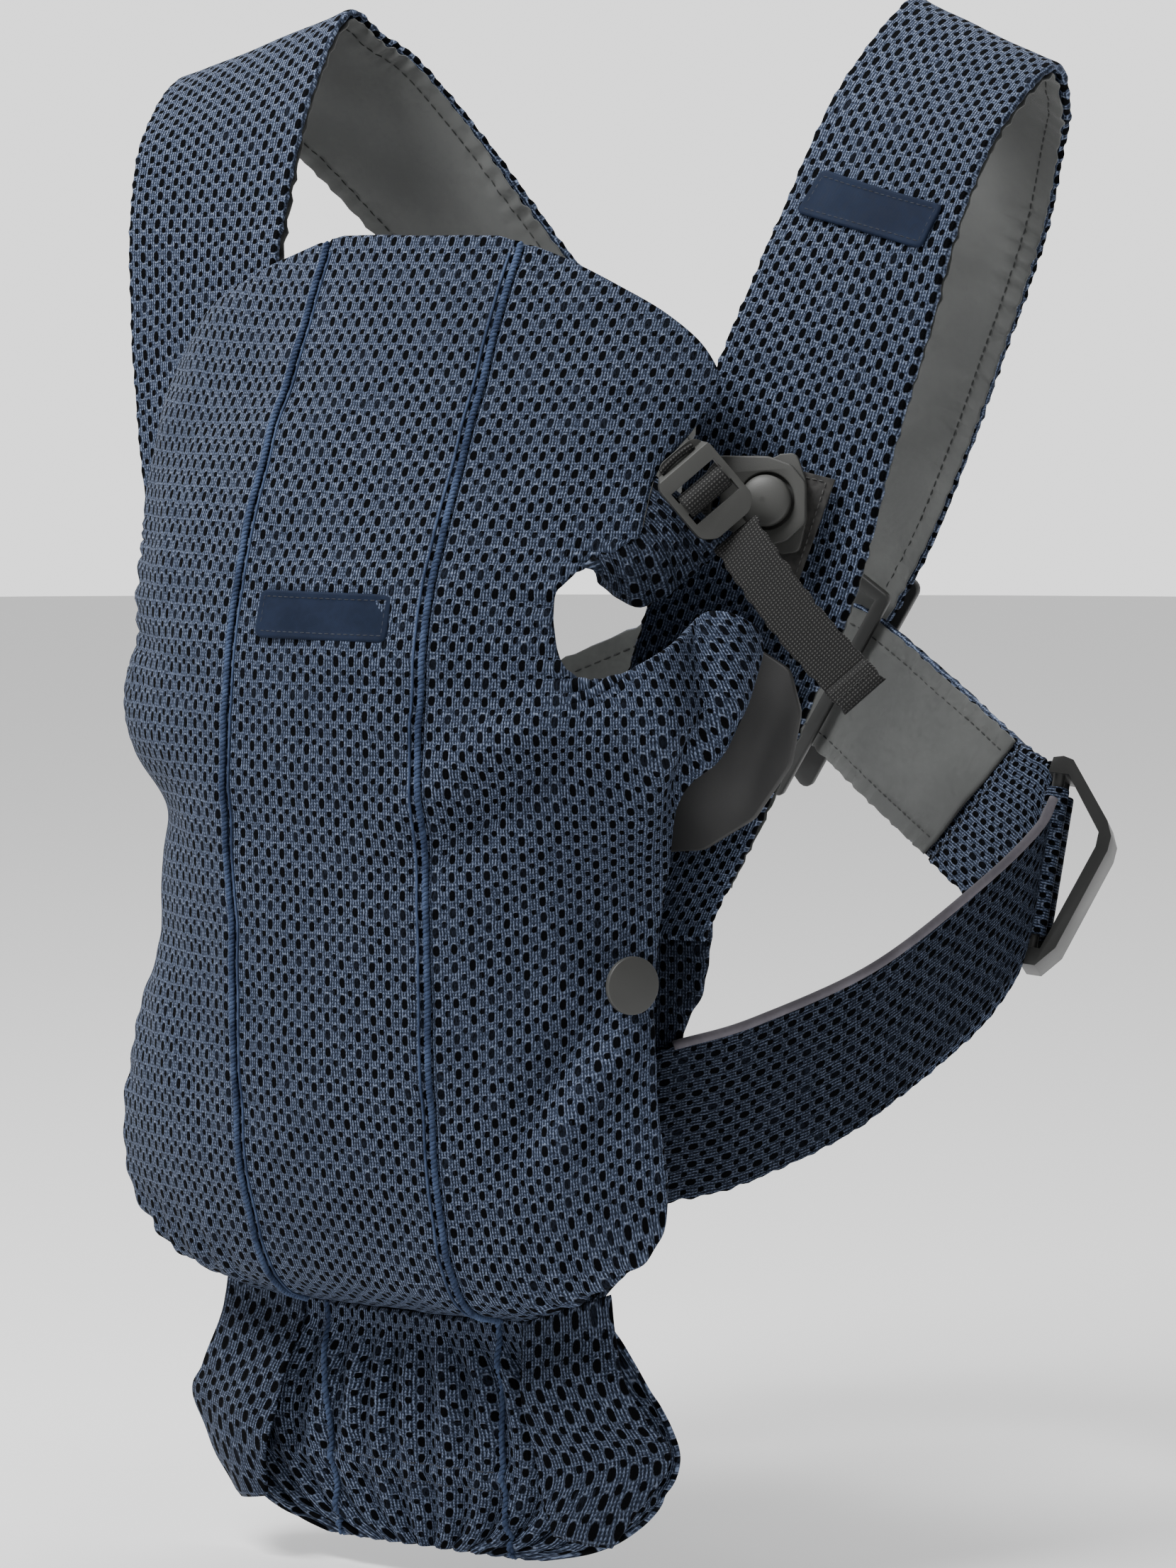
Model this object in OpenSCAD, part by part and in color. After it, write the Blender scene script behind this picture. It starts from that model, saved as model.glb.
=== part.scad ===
// Soft baby carrier: a shoulder harness with a padded front pouch.
// Millimetres. Origin between the two shoulder tops, +X to the wearer's left,
// -Y to the front where the baby sits, +Z up.

/* [Harness] */
// Thickness of the padded shoulder straps
strap_t = 5; // [3:0.5:6]
// Thickness of the waist strap and the belly panel
waist_t = 4; // [3:0.5:5]
// Thickness of the front panel and the head support
panel_t = 4; // [3:0.5:5]
// Depth of the gathered seat skirt, front to back
skirt_t = 8; // [5:1:10]

/* [Front trim] */
// Distance from the middle of the panel to each piping cord
piping_x = 46; // [38:1:50]
// Radius of a piping cord
piping_r = 1.3; // [1:0.1:1.6]
// Width of a woven label
label_w = 62; // [40:1:66]
// Height of a woven label
label_h = 18; // [12:1:20]

/* [Buckle] */
// Diameter of the round push button
button_d = 19.4; // [17:0.2:19.6]
// Travel of the push button
button_travel = 2; // [1:0.5:2]
// Diameter of the opening in the buckle plate
plate_bore_d = 21.6; // [21:0.2:23]
// Thickness of the buckle plate
plate_t = 3; // [2.5:0.5:3]
// Width of the webbing
webbing_w = 20; // [16:1:20]
// Thickness of the webbing
webbing_t = 1.6; // [1:0.2:1.8]

/* [Side sliders] */
// Overall length of a side slider
slider_l = 84; // [80:1:90]
// Depth of a side slider along the strap
slider_d = 27; // [25:1:30]
// Diameter of the two strap bars in a slider
bar_d = 4.8; // [4:0.2:5]

/* [Back crossing] */
// Width of the four bars of the inner crossing frame
cross_bar = 6; // [4:1:8]
// Thickness of the inner frame and of the outer plate
cross_t = 3.2; // [2:0.2:4]

/* [Snap studs] */
// Diameter of a snap stud's head
stud_d = 22; // [16:1:24]
// Height of a snap stud above the fabric
stud_h = 9; // [7:0.5:10]

/* [Hidden] */

navy = "#3e4c68";
piping_blue = "#4f6288";
lining_grey = "#4b4d4c";
plastic_grey = "#3e3e3c";
webbing_black = "#262626";

// Front panel rows: height, front face, half width on the left and depth, then half angle
// and lift of the side edge on the left, the same two on the right, and its half width
panel_rows = [
    [-150.5, -177, 138, 84, 62, 0, 62, 0, 152], [-165, -183, 138, 86, 56, 0, 62, 0, 153],
    [-180, -189, 138, 88, 55, 0, 62, 0, 153], [-190, -192.5, 138.5, 89, 54, 0, 62, 0, 151],
    [-197, -195, 139, 90, 47, 0, 62, 0, 149.5], [-205, -198.5, 139.5, 91.5, 42, 0, 62, 0, 148],
    [-214, -201, 140, 93, 40, 0, 62, 0, 147], [-234, -206, 141, 96, 42, 0, 63, 2, 146],
    [-244, -207, 141, 98, 46, 2, 65, 5, 146.5], [-252, -208, 142, 99, 53, 12, 66, 8, 147],
    [-256, -208.5, 145, 100, 61, 26, 67, 10, 147], [-260, -209, 148, 100, 69, 43, 68, 12, 147.5],
    [-266, -209, 151, 100, 78, 42, 69, 14, 148], [-272, -209.5, 148, 102, 79.5, 35, 69, 12, 147.5],
    [-285, -210, 138, 110, 75, 22, 70, 8, 146], [-305, -209, 132, 113, 67, 10, 70, 0, 137.5],
    [-353, -206, 130, 106, 63, 0, 66, 0, 139],
    [-398, -203, 148, 104, 56, 0, 58, 0, 157.5], [-430, -199, 157, 102, 54, 0, 54, 0, 169],
    [-452, -194, 155, 98, 53, 0, 53, 0, 170], [-468, -189, 146, 90, 51, 3, 51, 3, 164],
    [-480, -182, 131, 74, 49, 6, 49, 6, 155], [-487, -171, 112, 52, 47, 6, 47, 6, 141],
    [-491, -159, 92, 30, 45, 3, 45, 3, 122], [-493, -151, 80, 12, 44, 0, 44, 0, 102]];
// Head support rows, from the rim down to the fold line, same columns
head_rows = [
    [-77, -142, 112, 60, 18, 0, 18, 0, 119], [-84, -145, 118, 66, 31, 0, 31, 0, 126],
    [-94, -150, 127, 72, 41, 0, 41, 0, 135], [-106, -156, 137, 82, 50, 0, 50, 0, 146],
    [-120, -163, 142, 88, 58, 0, 58, 0, 151], [-135, -170, 143, 88, 63, 0, 63, 0, 152],
    [-149.5, -177, 138, 84, 62, 0, 62, 0, 152]];
// Seat skirt rows: height, middle plane, half width, curve back at the sides
skirt_rows = [
    [-502, -142, 82, 6], [-509, -144, 92, 8], [-522, -146, 106, 12], [-540, -146, 115, 14],
    [-556, -144, 110, 12], [-570, -142, 97, 10], [-581, -140, 78, 8], [-588, -138, 50, 4]];
// Belly panel rows: height, middle plane, half width, curve back at the sides
belly_rows = [
    [-333, -120, 122, 12], [-365, -119, 113, 11], [-385, -119, 102, 9], [-448, -122, 96, 9],
    [-462, -126, 90, 8], [-478, -133, 82, 6], [-488, -139, 76, 3]];
// Left shoulder strap: centre, width direction, width, share of the layer offset
strap_route = [
    [84, -114, -331, 1, 0, 0, 76, 0], [100, -109, -290, .98, 0, -.2, 77, 0],
    [117, -105, -244, .95, .1, -.28, 78, 0], [132, -100, -200, .94, .2, -.26, 79, 0],
    [143, -93, -150, .96, .18, -.2, 80, 0], [152, -82, -110, .98, .1, -.12, 80, 0],
    [160, -68, -69, 1, 0, -.02, 80, 0], [167, -46, -30, .97, -.12, -.18, 81, 0],
    [173, -13, -2, .93, -.18, -.33, 81, 0], [166, 8, -13, .9, -.08, -.41, 79, 0],
    [153, 24, -26, .88, .05, -.47, 77, 0], [134, 44, -56, .87, .11, -.48, 76, 0],
    [116, 56, -82, .84, .2, -.48, 76, 0], [98, 68, -109, .79, .26, -.54, 75, 0],
    [76, 84, -142, .74, .22, -.6, 73, .5], [42, 104, -194, .66, .12, -.72, 70, 1],
    [0, 113, -246, .57, .13, -.81, 68, 1], [-34, 114, -263, .52, .14, -.84, 68, 1],
    [-82, 91, -286, .62, .06, -.78, 68, .5], [-128, 64, -306, .66, 0, -.75, 66, 0],
    [-152, 52, -316, .42, -.18, -.89, 64, 0], [-163.6, 47.6, -323.4, .1, -.29, -.95, 62, 0]];
// Half of the distance between the two strap layers where they cross
layer_gap = 3.8;
// Left waist strap from the belly panel to the slider: centre, width direction, width
waist_route = [
    [100.5, -111, -416, .09, 0, 1, 62, 0], [120, -91, -409, .04, 0, 1, 62, 0],
    [149, -50, -389, 0, .06, 1, 60, 0], [170, -9, -361, 0, .14, .99, 60, 0],
    [180, 12, -341, 0, .25, .97, 60, 0], [182.3, 19, -329, 0, .3, .95, 60, 0]];
// Webbing tail from the ladder lock to its free end, same columns
tail_route = [
    [139, -131, -188, .68, .34, .64, 20, 0], [151, -132, -202, .7, .3, .64, 20, 0],
    [170, -130, -224, .7, .28, .65, 20, 0], [193, -124, -248, .7, .26, .66, 20, 0]];
// Webbing link from the buckle plate to the ladder lock, same columns
link_route = [
    [120.5, -121.5, -175.5, 0, .13, .99, 13, 0], [123.5, -127.5, -175, .2, .25, .94, 14, 0],
    [126.5, -133.5, -174, .4, .4, .82, 16, 0]];
// The right lock lies behind the panel's edge and its tail hangs down; both are mirrored
right_tail = [
    [129, -125, -188, .72, .38, .58, 20, 0], [128.5, -122.5, -204, .82, .36, .44, 20, 0],
    [125, -121.5, -226, .92, .28, .28, 20, 0], [122, -121, -250, .96, .2, .2, 20, 0]];
right_link_route = [
    [120.5, -121.5, -175.5, 0, .13, .99, 13, 0], [118.8, -124.5, -175, .2, .25, .94, 14, 0],
    [117.2, -127.4, -174.3, .4, .4, .82, 15, 0]];
// Side guard outline on the face of the strap: sideways, height from its middle
guard_outline = [
    [112, 36], [136, 40], [152, 32], [158, 16], [155, -4], [140, -25], [118, -38],
    [98, -40], [92, -18], [100, 14]];
// Kite shaped frame that holds the crossing straps: sideways, height from the crossing
kite_top = 62;
kite_side = 60;
kite_side_z = 22;
kite_bottom = -62;

buckle_at = [138.5, -105.5, -178];
buckle_turn = 18;
buckle_lean = 8;
lock_at = [127.5, -136.5, -172];
right_lock_at = [117.5, -130.5, -172];
lock_turn = 42;
lock_lean = 5;
lock_roll = -50;
slider_at = [176, 36, -325];
slider_lean = -17.5;
slider_turn = 24;
slider_bar_y = 9;
cross_at = [0, 113, -246];
cross_lean = 9;
frame_gap = 3.7;
plate_gap = 1.8;
guard_at = [0, -114.5, -272];
guard_lean = 6;
stud_at = [109.4, -162.2, -357];
stud_turn = 65;
seam_at = [0, -142, -497];
seam_l = 140;
seam_d = 6;
skirt_piping_x = 0.9 * piping_x;
// Clear space under a cord that lies on the cloth
cord_gap = 0.35;
bore_gap = 0.4;
post_d = 14;

// Catmull-Rom blend between b and c
function blend(a, b, c, d, t) =
    0.5 * (2 * b + (c - a) * t + (2 * a - 5 * b + 4 * c - d) * t * t
    + (3 * b - a - 3 * c + d) * t * t * t);

// Smooth curve through hand-placed stations, n steps between neighbours
function smooth(p, n) =
    let (m = len(p) - 1)
    concat([for (i = [0:m - 1]) for (k = [0:n - 1])
        let (a = i == 0 ? 2 * p[0] - p[1] : p[i - 1],
            d = i == m - 1 ? 2 * p[m] - p[m - 1] : p[i + 2])
        blend(a, p[i], p[i + 1], d, k / n)], [p[m]]);

function unit(v) = v / norm(v);
function place(s) = [s[0], s[1], s[2]];
function across(s) = unit([s[3], s[4], s[5]]);

// Closed solid through rings of points that all have the same count
module loft(rings) {
    n = len(rings[0]);
    m = len(rings);
    polyhedron(
        points = [for (r = rings) for (p = r) p],
        faces = concat(
            [for (i = [0:m - 2]) for (j = [0:n - 1]) let (k = (j + 1) % n)
                each [[i * n + j, i * n + n + k, i * n + k], [i * n + j, i * n + n + j, i * n + n + k]]],
            [[for (j = [0:n - 1]) j]],
            [[for (j = [0:n - 1]) (m - 1) * n + n - 1 - j]]),
        convexity = 6);
}

// Flat strap with eased edges along its stations; side moves it across its thickness
module ribbon(route, thick, steps, side = 0) {
    s = smooth(route, steps);
    m = len(s) - 1;
    ease = thick * 0.3;
    loft([for (i = [0:m])
        let (t = unit(place(s[min(i + 1, m)]) - place(s[max(i - 1, 0)])),
            w = across(s[i]),
            n = unit(cross(t, w)),
            c = place(s[i]) + [0, 1, 0] * side * s[i][7],
            a = s[i][6] / 2,
            h = thick / 2)
        [for (q = [[a, h - ease], [a - ease, h], [ease - a, h], [-a, h - ease],
            [-a, ease - h], [ease - a, -h], [a - ease, -h], [a, ease - h]])
            c + w * q[0] + n * q[1]]]);
}

// Point on a panel row at a share of its half angle, from -1 to 1
function row_point(r, s) =
    let (wide = s < 0 ? r[8] : r[2], a = s * (s < 0 ? r[6] : r[4]),
        rise = s < 0 ? r[7] * pow(-s, 3) : r[5] * pow(s, 8))
    [wide * sin(a), r[1] + r[3] * (1 - cos(a)), r[0] + rise];

// Point on a skirt or belly row at a share of its half width
function flat_point(r, s, front) = [r[2] * s, r[1] - front + r[3] * s * s, r[0]];

// Point of a grid pushed inwards by a thickness
function pushed(g, i, j, thick) =
    let (m = len(g) - 1,
        n = len(g[0]) - 1,
        along = g[i][min(j + 1, n)] - g[i][max(j - 1, 0)],
        down = g[min(i + 1, m)][j] - g[max(i - 1, 0)][j])
    g[i][j] + thick * unit(cross(along, down));

// Closed sheet from a grid of front points, rows from the top down
module sheet(g, thick) {
    m = len(g);
    n = len(g[0]);
    q = m * n;
    front = [for (i = [0:m - 1]) for (j = [0:n - 1]) g[i][j]];
    rear = [for (i = [0:m - 1]) for (j = [0:n - 1]) pushed(g, i, j, thick)];
    e = (m - 1) * n;
    k = n - 1;
    polyhedron(
        points = concat(front, rear),
        faces = [for (i = [0:m - 1]) for (j = [0:n - 1]) let (a = i * n + j) each concat(
            i < m - 1 && j < k ? [[a, a + 1, a + n + 1], [a, a + n + 1, a + n],
                [a + q, a + q + n + 1, a + q + 1], [a + q, a + q + n, a + q + n + 1]] : [],
            i == 0 && j < k ? [[j + 1, j, j + q], [j + 1, j + q, j + q + 1]] : [],
            i == m - 1 && j < k ? [[e + j, e + j + 1, e + j + 1 + q], [e + j, e + j + 1 + q, e + j + q]] : [],
            j == 0 && i < m - 1 ? [[a, a + n, a + n + q], [a, a + n + q, a + q]] : [],
            j == k && i < m - 1 ? [[a + n, a, a + q], [a + n, a + q, a + n + q]] : [])],
        convexity = 8);
}

// Round cord through points, with eight sides
module cord(path, r) {
    m = len(path) - 1;
    loft([for (i = [0:m])
        let (t = unit(path[min(i + 1, m)] - path[max(i - 1, 0)]),
            w = unit(cross([0, 1, 0], t)),
            n = cross(t, w))
        [for (k = [0:7]) path[i] + r * (cos(45 * k) * w + sin(45 * k) * n)]]);
}

// Cord that lies on the face of a grid surface at one distance from its middle
function on_panel(rows, x) =
    [for (r = rows) [x, r[1] + r[3] * (1 - cos(asin(x / (x < 0 ? r[8] : r[2])))), r[0]]];
function lifted(p, d) =
    let (m = len(p) - 1)
    [for (i = [0:m]) let (t = unit(p[min(i + 1, m)] - p[max(i - 1, 0)])) p[i] + d * [0, t[2], -t[1]]];

module both_sides() {
    children();
    mirror([1, 0, 0]) children();
}
module panel_grid(rows, steps, half) {
    sheet([for (r = smooth(rows, steps)) [for (j = [-half:half]) row_point(r, j / half)]], panel_t);
}
module at_buckle() {
    translate(buckle_at) rotate([0, 0, buckle_turn]) rotate([90 - buckle_lean, 0, 0]) children();
}
module at_lock(at) {
    translate(at) rotate([0, 0, lock_turn]) rotate([90 - lock_lean, 0, 0]) rotate(lock_roll) children();
}
module at_slider() {
    translate(slider_at) rotate([slider_lean, 0, 0]) rotate([0, 0, slider_turn]) children();
}
module at_cross() {
    translate(cross_at) rotate([cross_lean, 0, 0]) rotate([90, 0, 0]) children();
}
module at_stud() {
    translate(stud_at) rotate([0, 0, stud_turn]) rotate([90, 0, 0]) children();
}

// Lower part of the pouch, open at the arm holes
module front_panel() {
    color(navy) panel_grid(panel_rows, 2, 10);
}
// Flap behind the baby's head, folds down over the front
module head_support() {
    color(navy) panel_grid(head_rows, 2, 10);
}
module piping(rows, steps) {
    color(piping_blue) for (x = [-piping_x, piping_x])
        cord(lifted(on_panel(smooth(rows, steps), x), piping_r + cord_gap), piping_r);
}
module panel_piping() {
    piping(panel_rows, 2);
}
module head_piping() {
    piping([for (i = [2:len(head_rows) - 1]) head_rows[i]], 2);
}
module seat_skirt() {
    g = [for (r = smooth(skirt_rows, 2)) [for (j = [-8:8]) flat_point(r, j / 8, skirt_t / 2)]];
    color(navy) sheet(g, skirt_t);
}
module skirt_piping() {
    low = [for (r = smooth(skirt_rows, 2))
        [skirt_piping_x, r[1] - skirt_t / 2 + r[3] * pow(skirt_piping_x / r[2], 2), r[0]]];
    color(piping_blue) both_sides() cord(lifted(low, piping_r + cord_gap), piping_r);
}
// Bound seam under the seat, the line that the front panel opens about
module seat_seam() {
    color(navy) translate(seam_at) rotate([0, 90, 0]) cylinder(h = seam_l, d = seam_d, center = true, $fn = 32);
}
module belly_panel() {
    g = [for (r = smooth(belly_rows, 2)) [for (j = [-6:6]) flat_point(r, j / 6, waist_t / 2)]];
    color(navy) sheet(g, waist_t);
}
module shoulder_strap(side) {
    color(navy) ribbon(strap_route, strap_t, 3, side * layer_gap);
}
module waist_strap() {
    color(navy) ribbon(waist_route, waist_t, 4);
}
// Folded end of a strap round one slider bar
module strap_end(y) {
    color(navy) at_slider() translate([0, y, 0]) difference() {
        cylinder(h = 60, d = bar_d + 5, center = true, $fn = 32);
        cylinder(h = 62, d = bar_d + 2 * bore_gap, center = true, $fn = 32);
    }
}
// Bowed frame with two bars, one for each strap
module side_slider() {
    h = slider_l / 2;
    color(plastic_grey) at_slider() {
        for (y = [-slider_bar_y, slider_bar_y])
            translate([0, y, 0]) cylinder(h = slider_l - 12, d = bar_d, center = true, $fn = 32);
        translate([0, slider_d / 2, 0]) rotate([90, 0, 0]) linear_extrude(slider_d) polygon([
            [-4, h - 7], [-3, h - 1], [1, h], [5, h - 1], [22, h - 23], [24.5, h - 29], [24, h - 35],
            [10, 8 - h], [3, -h], [-3, -h], [-4, 7 - h], [4, 7 - h], [19, h - 34], [19.3, h - 28],
            [4, h - 7]]);
    }
}
module kite(in) {
    offset(r = 3 - in) offset(delta = -3) polygon([
        [0, kite_top + 5], [kite_side + 4, kite_side_z], [0, kite_bottom - 5], [-kite_side - 4, kite_side_z]]);
}
// Inner frame: four flat bars that the straps run behind
module back_cross_frame() {
    color(plastic_grey) at_cross() translate([0, 0, layer_gap + strap_t / 2 + frame_gap])
        linear_extrude(cross_t) difference() {
            kite(0);
            kite(cross_bar);
        }
}
// Outer plate behind the crossing straps, with a scalloped edge
module back_cross_plate() {
    color(plastic_grey) at_cross() translate([0, 0, -layer_gap - strap_t / 2 - plate_gap - cross_t])
        linear_extrude(cross_t) difference() {
            offset(r = 2) kite(1);
            for (s = [-1, 1]) {
                translate([s * 45, 62]) circle(24, $fn = 48);
                translate([s * 52, -38]) circle(26, $fn = 48);
            }
            circle(16, $fn = 48);
        }
}
// Smooth stiff wing sewn to the face of the strap beside the pouch
module side_guard() {
    color(plastic_grey) translate(guard_at) rotate([90 - guard_lean, 0, 0]) linear_extrude(2.4)
        offset(r = 6) offset(delta = -6) polygon(guard_outline);
}
module label_plate() {
    linear_extrude(1) offset(r = 3, $fn = 24) square([label_w - 6, label_h - 6], center = true);
}
module chest_label() {
    color(navy) translate([0, -205.4, -221]) rotate([90 - 12, 0, 0]) label_plate();
}
module strap_label() {
    color(navy) translate([160, -71.6, -69]) rotate([90 - 25, 0, 0]) rotate(-12) label_plate();
}
// Dark fabric patch between the strap and the buckle
module buckle_patch() {
    color(lining_grey) at_buckle() linear_extrude(1.2) polygon([
        [-20, 13], [12, 12], [25, 9], [12, -30], [-6, -30]]);
}
module base_outline() {
    difference() {
        offset(r = 3, $fn = 24) polygon([
            [-12, 14], [8, 15.5], [11, 8], [12, -6], [10, -16], [-4, -18], [-13, -8]]);
        translate([-1, 24]) circle(7.5, $fn = 32);
        translate([3, -27]) circle(8, $fn = 32);
    }
}
// Sewn base with the round post that the plate drops over
module buckle_base() {
    color(plastic_grey) at_buckle() {
        translate([0, 0, 1.5]) linear_extrude(2) base_outline();
        difference() {
            translate([0, 0, 3]) cylinder(h = 3.2, d = post_d, $fn = 48);
            translate([0, 0, 3.6]) cylinder(h = 4, d = post_d - 3, $fn = 48);
        }
    }
}
// Ring that pushes the button back out
module button_spring() {
    color("silver") at_buckle() translate([0, 0, 3.7]) rotate_extrude($fn = 48)
        translate([4.3, 0]) square([0.9, 1.6]);
}
// Domed button, slides into the base
module push_button() {
    r = button_d / 2;
    wall = post_d / 2 + bore_gap;
    color(plastic_grey) at_buckle() {
        translate([0, 0, 6.8 + button_travel]) rotate_extrude($fn = 64)
            polygon(concat([[0, -0.2], [wall, -0.2], [wall, -3], [r - 0.3, -3], [r, -2.7], [r, 0.2]],
                [for (a = [10:10:90]) [r * cos(a), 0.2 + 3.4 * sin(a)]]));
        translate([0, 0, 3.8 + button_travel]) cylinder(h = 3, d = 8, $fn = 32);
    }
}
// Plate that drops over the button; its bore turns on the post
module buckle_plate() {
    color(plastic_grey) at_buckle() translate([0, 0, 4]) difference() {
        linear_extrude(plate_t) offset(r = 4, $fn = 32) offset(delta = -4) polygon([
            [-24, 11], [-19, 17], [0, 17], [9, 14], [15, 7], [15.5, -8], [8, -15], [-1, -17.5],
            [-12, -12], [-24, -8]]);
        translate([0, 0, -1]) cylinder(h = plate_t + 2, d = plate_bore_d, $fn = 64);
        translate([-20, 1.5, plate_t / 2]) cube([3.2, 15, plate_t + 2], center = true);
    }
}
// Strap adjuster with a sewn tab end, a window with a bar, and a lip
module ladder_lock(at) {
    color(plastic_grey) at_lock(at) difference() {
        linear_extrude(5) offset(r = 5, $fn = 32) offset(delta = -5) polygon([
            [-17, 10], [-17, -6], [-10, -13], [14, -13], [18, -8], [18, 8], [14, 13], [-11, 13]]);
        translate([-3.5, 0, 2.5]) cube([4.6, 21, 7], center = true);
        translate([6.5, 0, 2.5]) cube([5, 21, 7], center = true);
        translate([-19, 0, 6]) rotate([0, 22, 0]) cube([14, 40, 5], center = true);
    }
}
// Short webbing between the buckle plate and the ladder lock
module webbing_link(route) {
    color(webbing_black) ribbon(route, webbing_t, 3);
}
// Webbing over the bar of the ladder lock, and its free tail
module webbing_tail(route, at) {
    color(webbing_black) {
        ribbon(route, webbing_t, 4);
        at_lock(at) translate([1.5, 0, 5.4 + webbing_t / 2]) cube([12, webbing_w, webbing_t], center = true);
    }
}
// Snap stud on the left side of the pouch
module snap_stud() {
    color(plastic_grey) at_stud() {
        cylinder(h = 1.6, d = 12, $fn = 48);
        cylinder(h = stud_h - 1, d = 8, $fn = 32);
        translate([0, 0, stud_h - 2.4]) cylinder(h = 2.4, d = stud_d, $fn = 64);
    }
}
module stud_washer() {
    color(plastic_grey) at_stud() translate([0, 0, -10.8]) cylinder(h = 1.4, d = 12, $fn = 48);
}

front_panel();
head_support();
panel_piping();
head_piping();
seat_skirt();
skirt_piping();
seat_seam();
belly_panel();
shoulder_strap(1);  // shoulder_strap_left
mirror([1, 0, 0]) shoulder_strap(-1);  // shoulder_strap_right
waist_strap();  // waist_strap_left
mirror([1, 0, 0]) waist_strap();  // waist_strap_right
strap_end(slider_bar_y);  // strap_loop_left
mirror([1, 0, 0]) strap_end(slider_bar_y);  // strap_loop_right
strap_end(-slider_bar_y);  // waist_loop_left
mirror([1, 0, 0]) strap_end(-slider_bar_y);  // waist_loop_right
side_slider();  // side_slider_left
mirror([1, 0, 0]) side_slider();  // side_slider_right
back_cross_plate();
back_cross_frame();
side_guard();  // side_guard_left
mirror([1, 0, 0]) side_guard();  // side_guard_right
chest_label();
strap_label();
buckle_patch();  // buckle_patch_left
mirror([1, 0, 0]) buckle_patch();  // buckle_patch_right
buckle_base();  // buckle_base_left
mirror([1, 0, 0]) buckle_base();  // buckle_base_right
button_spring();  // button_spring_left
mirror([1, 0, 0]) button_spring();  // button_spring_right
push_button();  // push_button_left
mirror([1, 0, 0]) push_button();  // push_button_right
buckle_plate();  // buckle_plate_left
mirror([1, 0, 0]) buckle_plate();  // buckle_plate_right
ladder_lock(lock_at);  // ladder_lock_left
mirror([1, 0, 0]) ladder_lock(right_lock_at);  // ladder_lock_right
webbing_link(link_route);  // webbing_link_left
mirror([1, 0, 0]) webbing_link(right_link_route);  // webbing_link_right
webbing_tail(tail_route, lock_at);  // webbing_tail_left
mirror([1, 0, 0]) webbing_tail(right_tail, right_lock_at);  // webbing_tail_right
snap_stud();
stud_washer();
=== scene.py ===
import math

import bmesh
import bpy
import numpy as np
from mathutils import Matrix, Vector


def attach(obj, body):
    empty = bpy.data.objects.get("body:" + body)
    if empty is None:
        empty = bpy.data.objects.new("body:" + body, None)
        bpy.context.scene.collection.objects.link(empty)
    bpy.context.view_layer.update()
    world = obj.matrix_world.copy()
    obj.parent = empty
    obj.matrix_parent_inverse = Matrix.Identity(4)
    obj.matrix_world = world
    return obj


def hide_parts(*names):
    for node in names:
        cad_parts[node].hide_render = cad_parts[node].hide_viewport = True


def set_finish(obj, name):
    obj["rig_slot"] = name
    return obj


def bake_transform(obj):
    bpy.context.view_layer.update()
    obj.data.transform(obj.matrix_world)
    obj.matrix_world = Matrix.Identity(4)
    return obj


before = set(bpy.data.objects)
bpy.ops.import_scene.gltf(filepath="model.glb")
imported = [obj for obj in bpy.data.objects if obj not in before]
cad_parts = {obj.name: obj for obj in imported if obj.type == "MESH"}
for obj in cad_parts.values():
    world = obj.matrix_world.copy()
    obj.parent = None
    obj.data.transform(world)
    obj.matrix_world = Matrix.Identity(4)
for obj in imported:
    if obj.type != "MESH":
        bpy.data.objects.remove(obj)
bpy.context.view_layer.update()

MM = 0.001
TAU = 2 * np.pi
SIDES = (("left", 1), ("right", -1))

# ---- stations in mm
# The places are those of part.scad. Some strips reach further into their neighbours here,
# because cloth that is sewn in has no visible end.
PANEL_T, GAP = 4, 3.8
PIPING_X = 46
# height, front, half width left, depth, angle left, lift left, angle right, lift right, half width right
POUCH = [
    [-77, -142, 112, 60, 18, 0, 18, 0, 119], [-84, -145, 118, 66, 31, 0, 31, 0, 126],
    [-94, -150, 127, 72, 41, 0, 41, 0, 135], [-106, -156, 137, 82, 50, 0, 50, 0, 146],
    [-120, -163, 142, 88, 58, 0, 58, 0, 151], [-135, -170, 143, 88, 63, 0, 63, 0, 152],
    [-150, -177, 138, 84, 62, 0, 62, 0, 152], [-165, -183, 138, 86, 56, 0, 62, 0, 153],
    [-180, -189, 138, 88, 55, 0, 62, 0, 153], [-190, -192.5, 138.5, 89, 54, 0, 62, 0, 151],
    [-197, -195, 139, 90, 47, 0, 62, 0, 149.5], [-205, -198.5, 139.5, 91.5, 42, 0, 62, 0, 148],
    [-214, -201, 140, 93, 40, 0, 62, 0, 147], [-234, -206, 141, 96, 42, 0, 63, 2, 146],
    [-244, -207, 141, 98, 46, 2, 65, 5, 146.5], [-252, -208, 142, 99, 53, 12, 66, 8, 147],
    [-256, -208.5, 145, 100, 61, 26, 67, 10, 147], [-260, -209, 148, 100, 69, 43, 68, 12, 147.5],
    [-266, -209, 151, 100, 78, 42, 69, 14, 148], [-272, -209.5, 148, 102, 79.5, 35, 69, 12, 147.5],
    [-285, -210, 138, 110, 75, 22, 70, 8, 146], [-305, -209, 132, 113, 67, 10, 70, 0, 137.5],
    [-353, -206, 130, 106, 63, 0, 66, 0, 139], [-398, -203, 148, 104, 56, 0, 58, 0, 157.5],
    [-430, -199, 157, 102, 54, 0, 54, 0, 169], [-452, -194, 155, 98, 53, 0, 53, 0, 170],
    [-468, -189, 146, 90, 51, 3, 51, 3, 164], [-480, -182, 131, 74, 49, 6, 49, 6, 155],
    [-487, -171, 112, 52, 47, 6, 47, 6, 141], [-491, -159, 92, 30, 45, 3, 45, 3, 122],
    [-493, -151, 80, 12, 44, 0, 44, 0, 102]]
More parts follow.
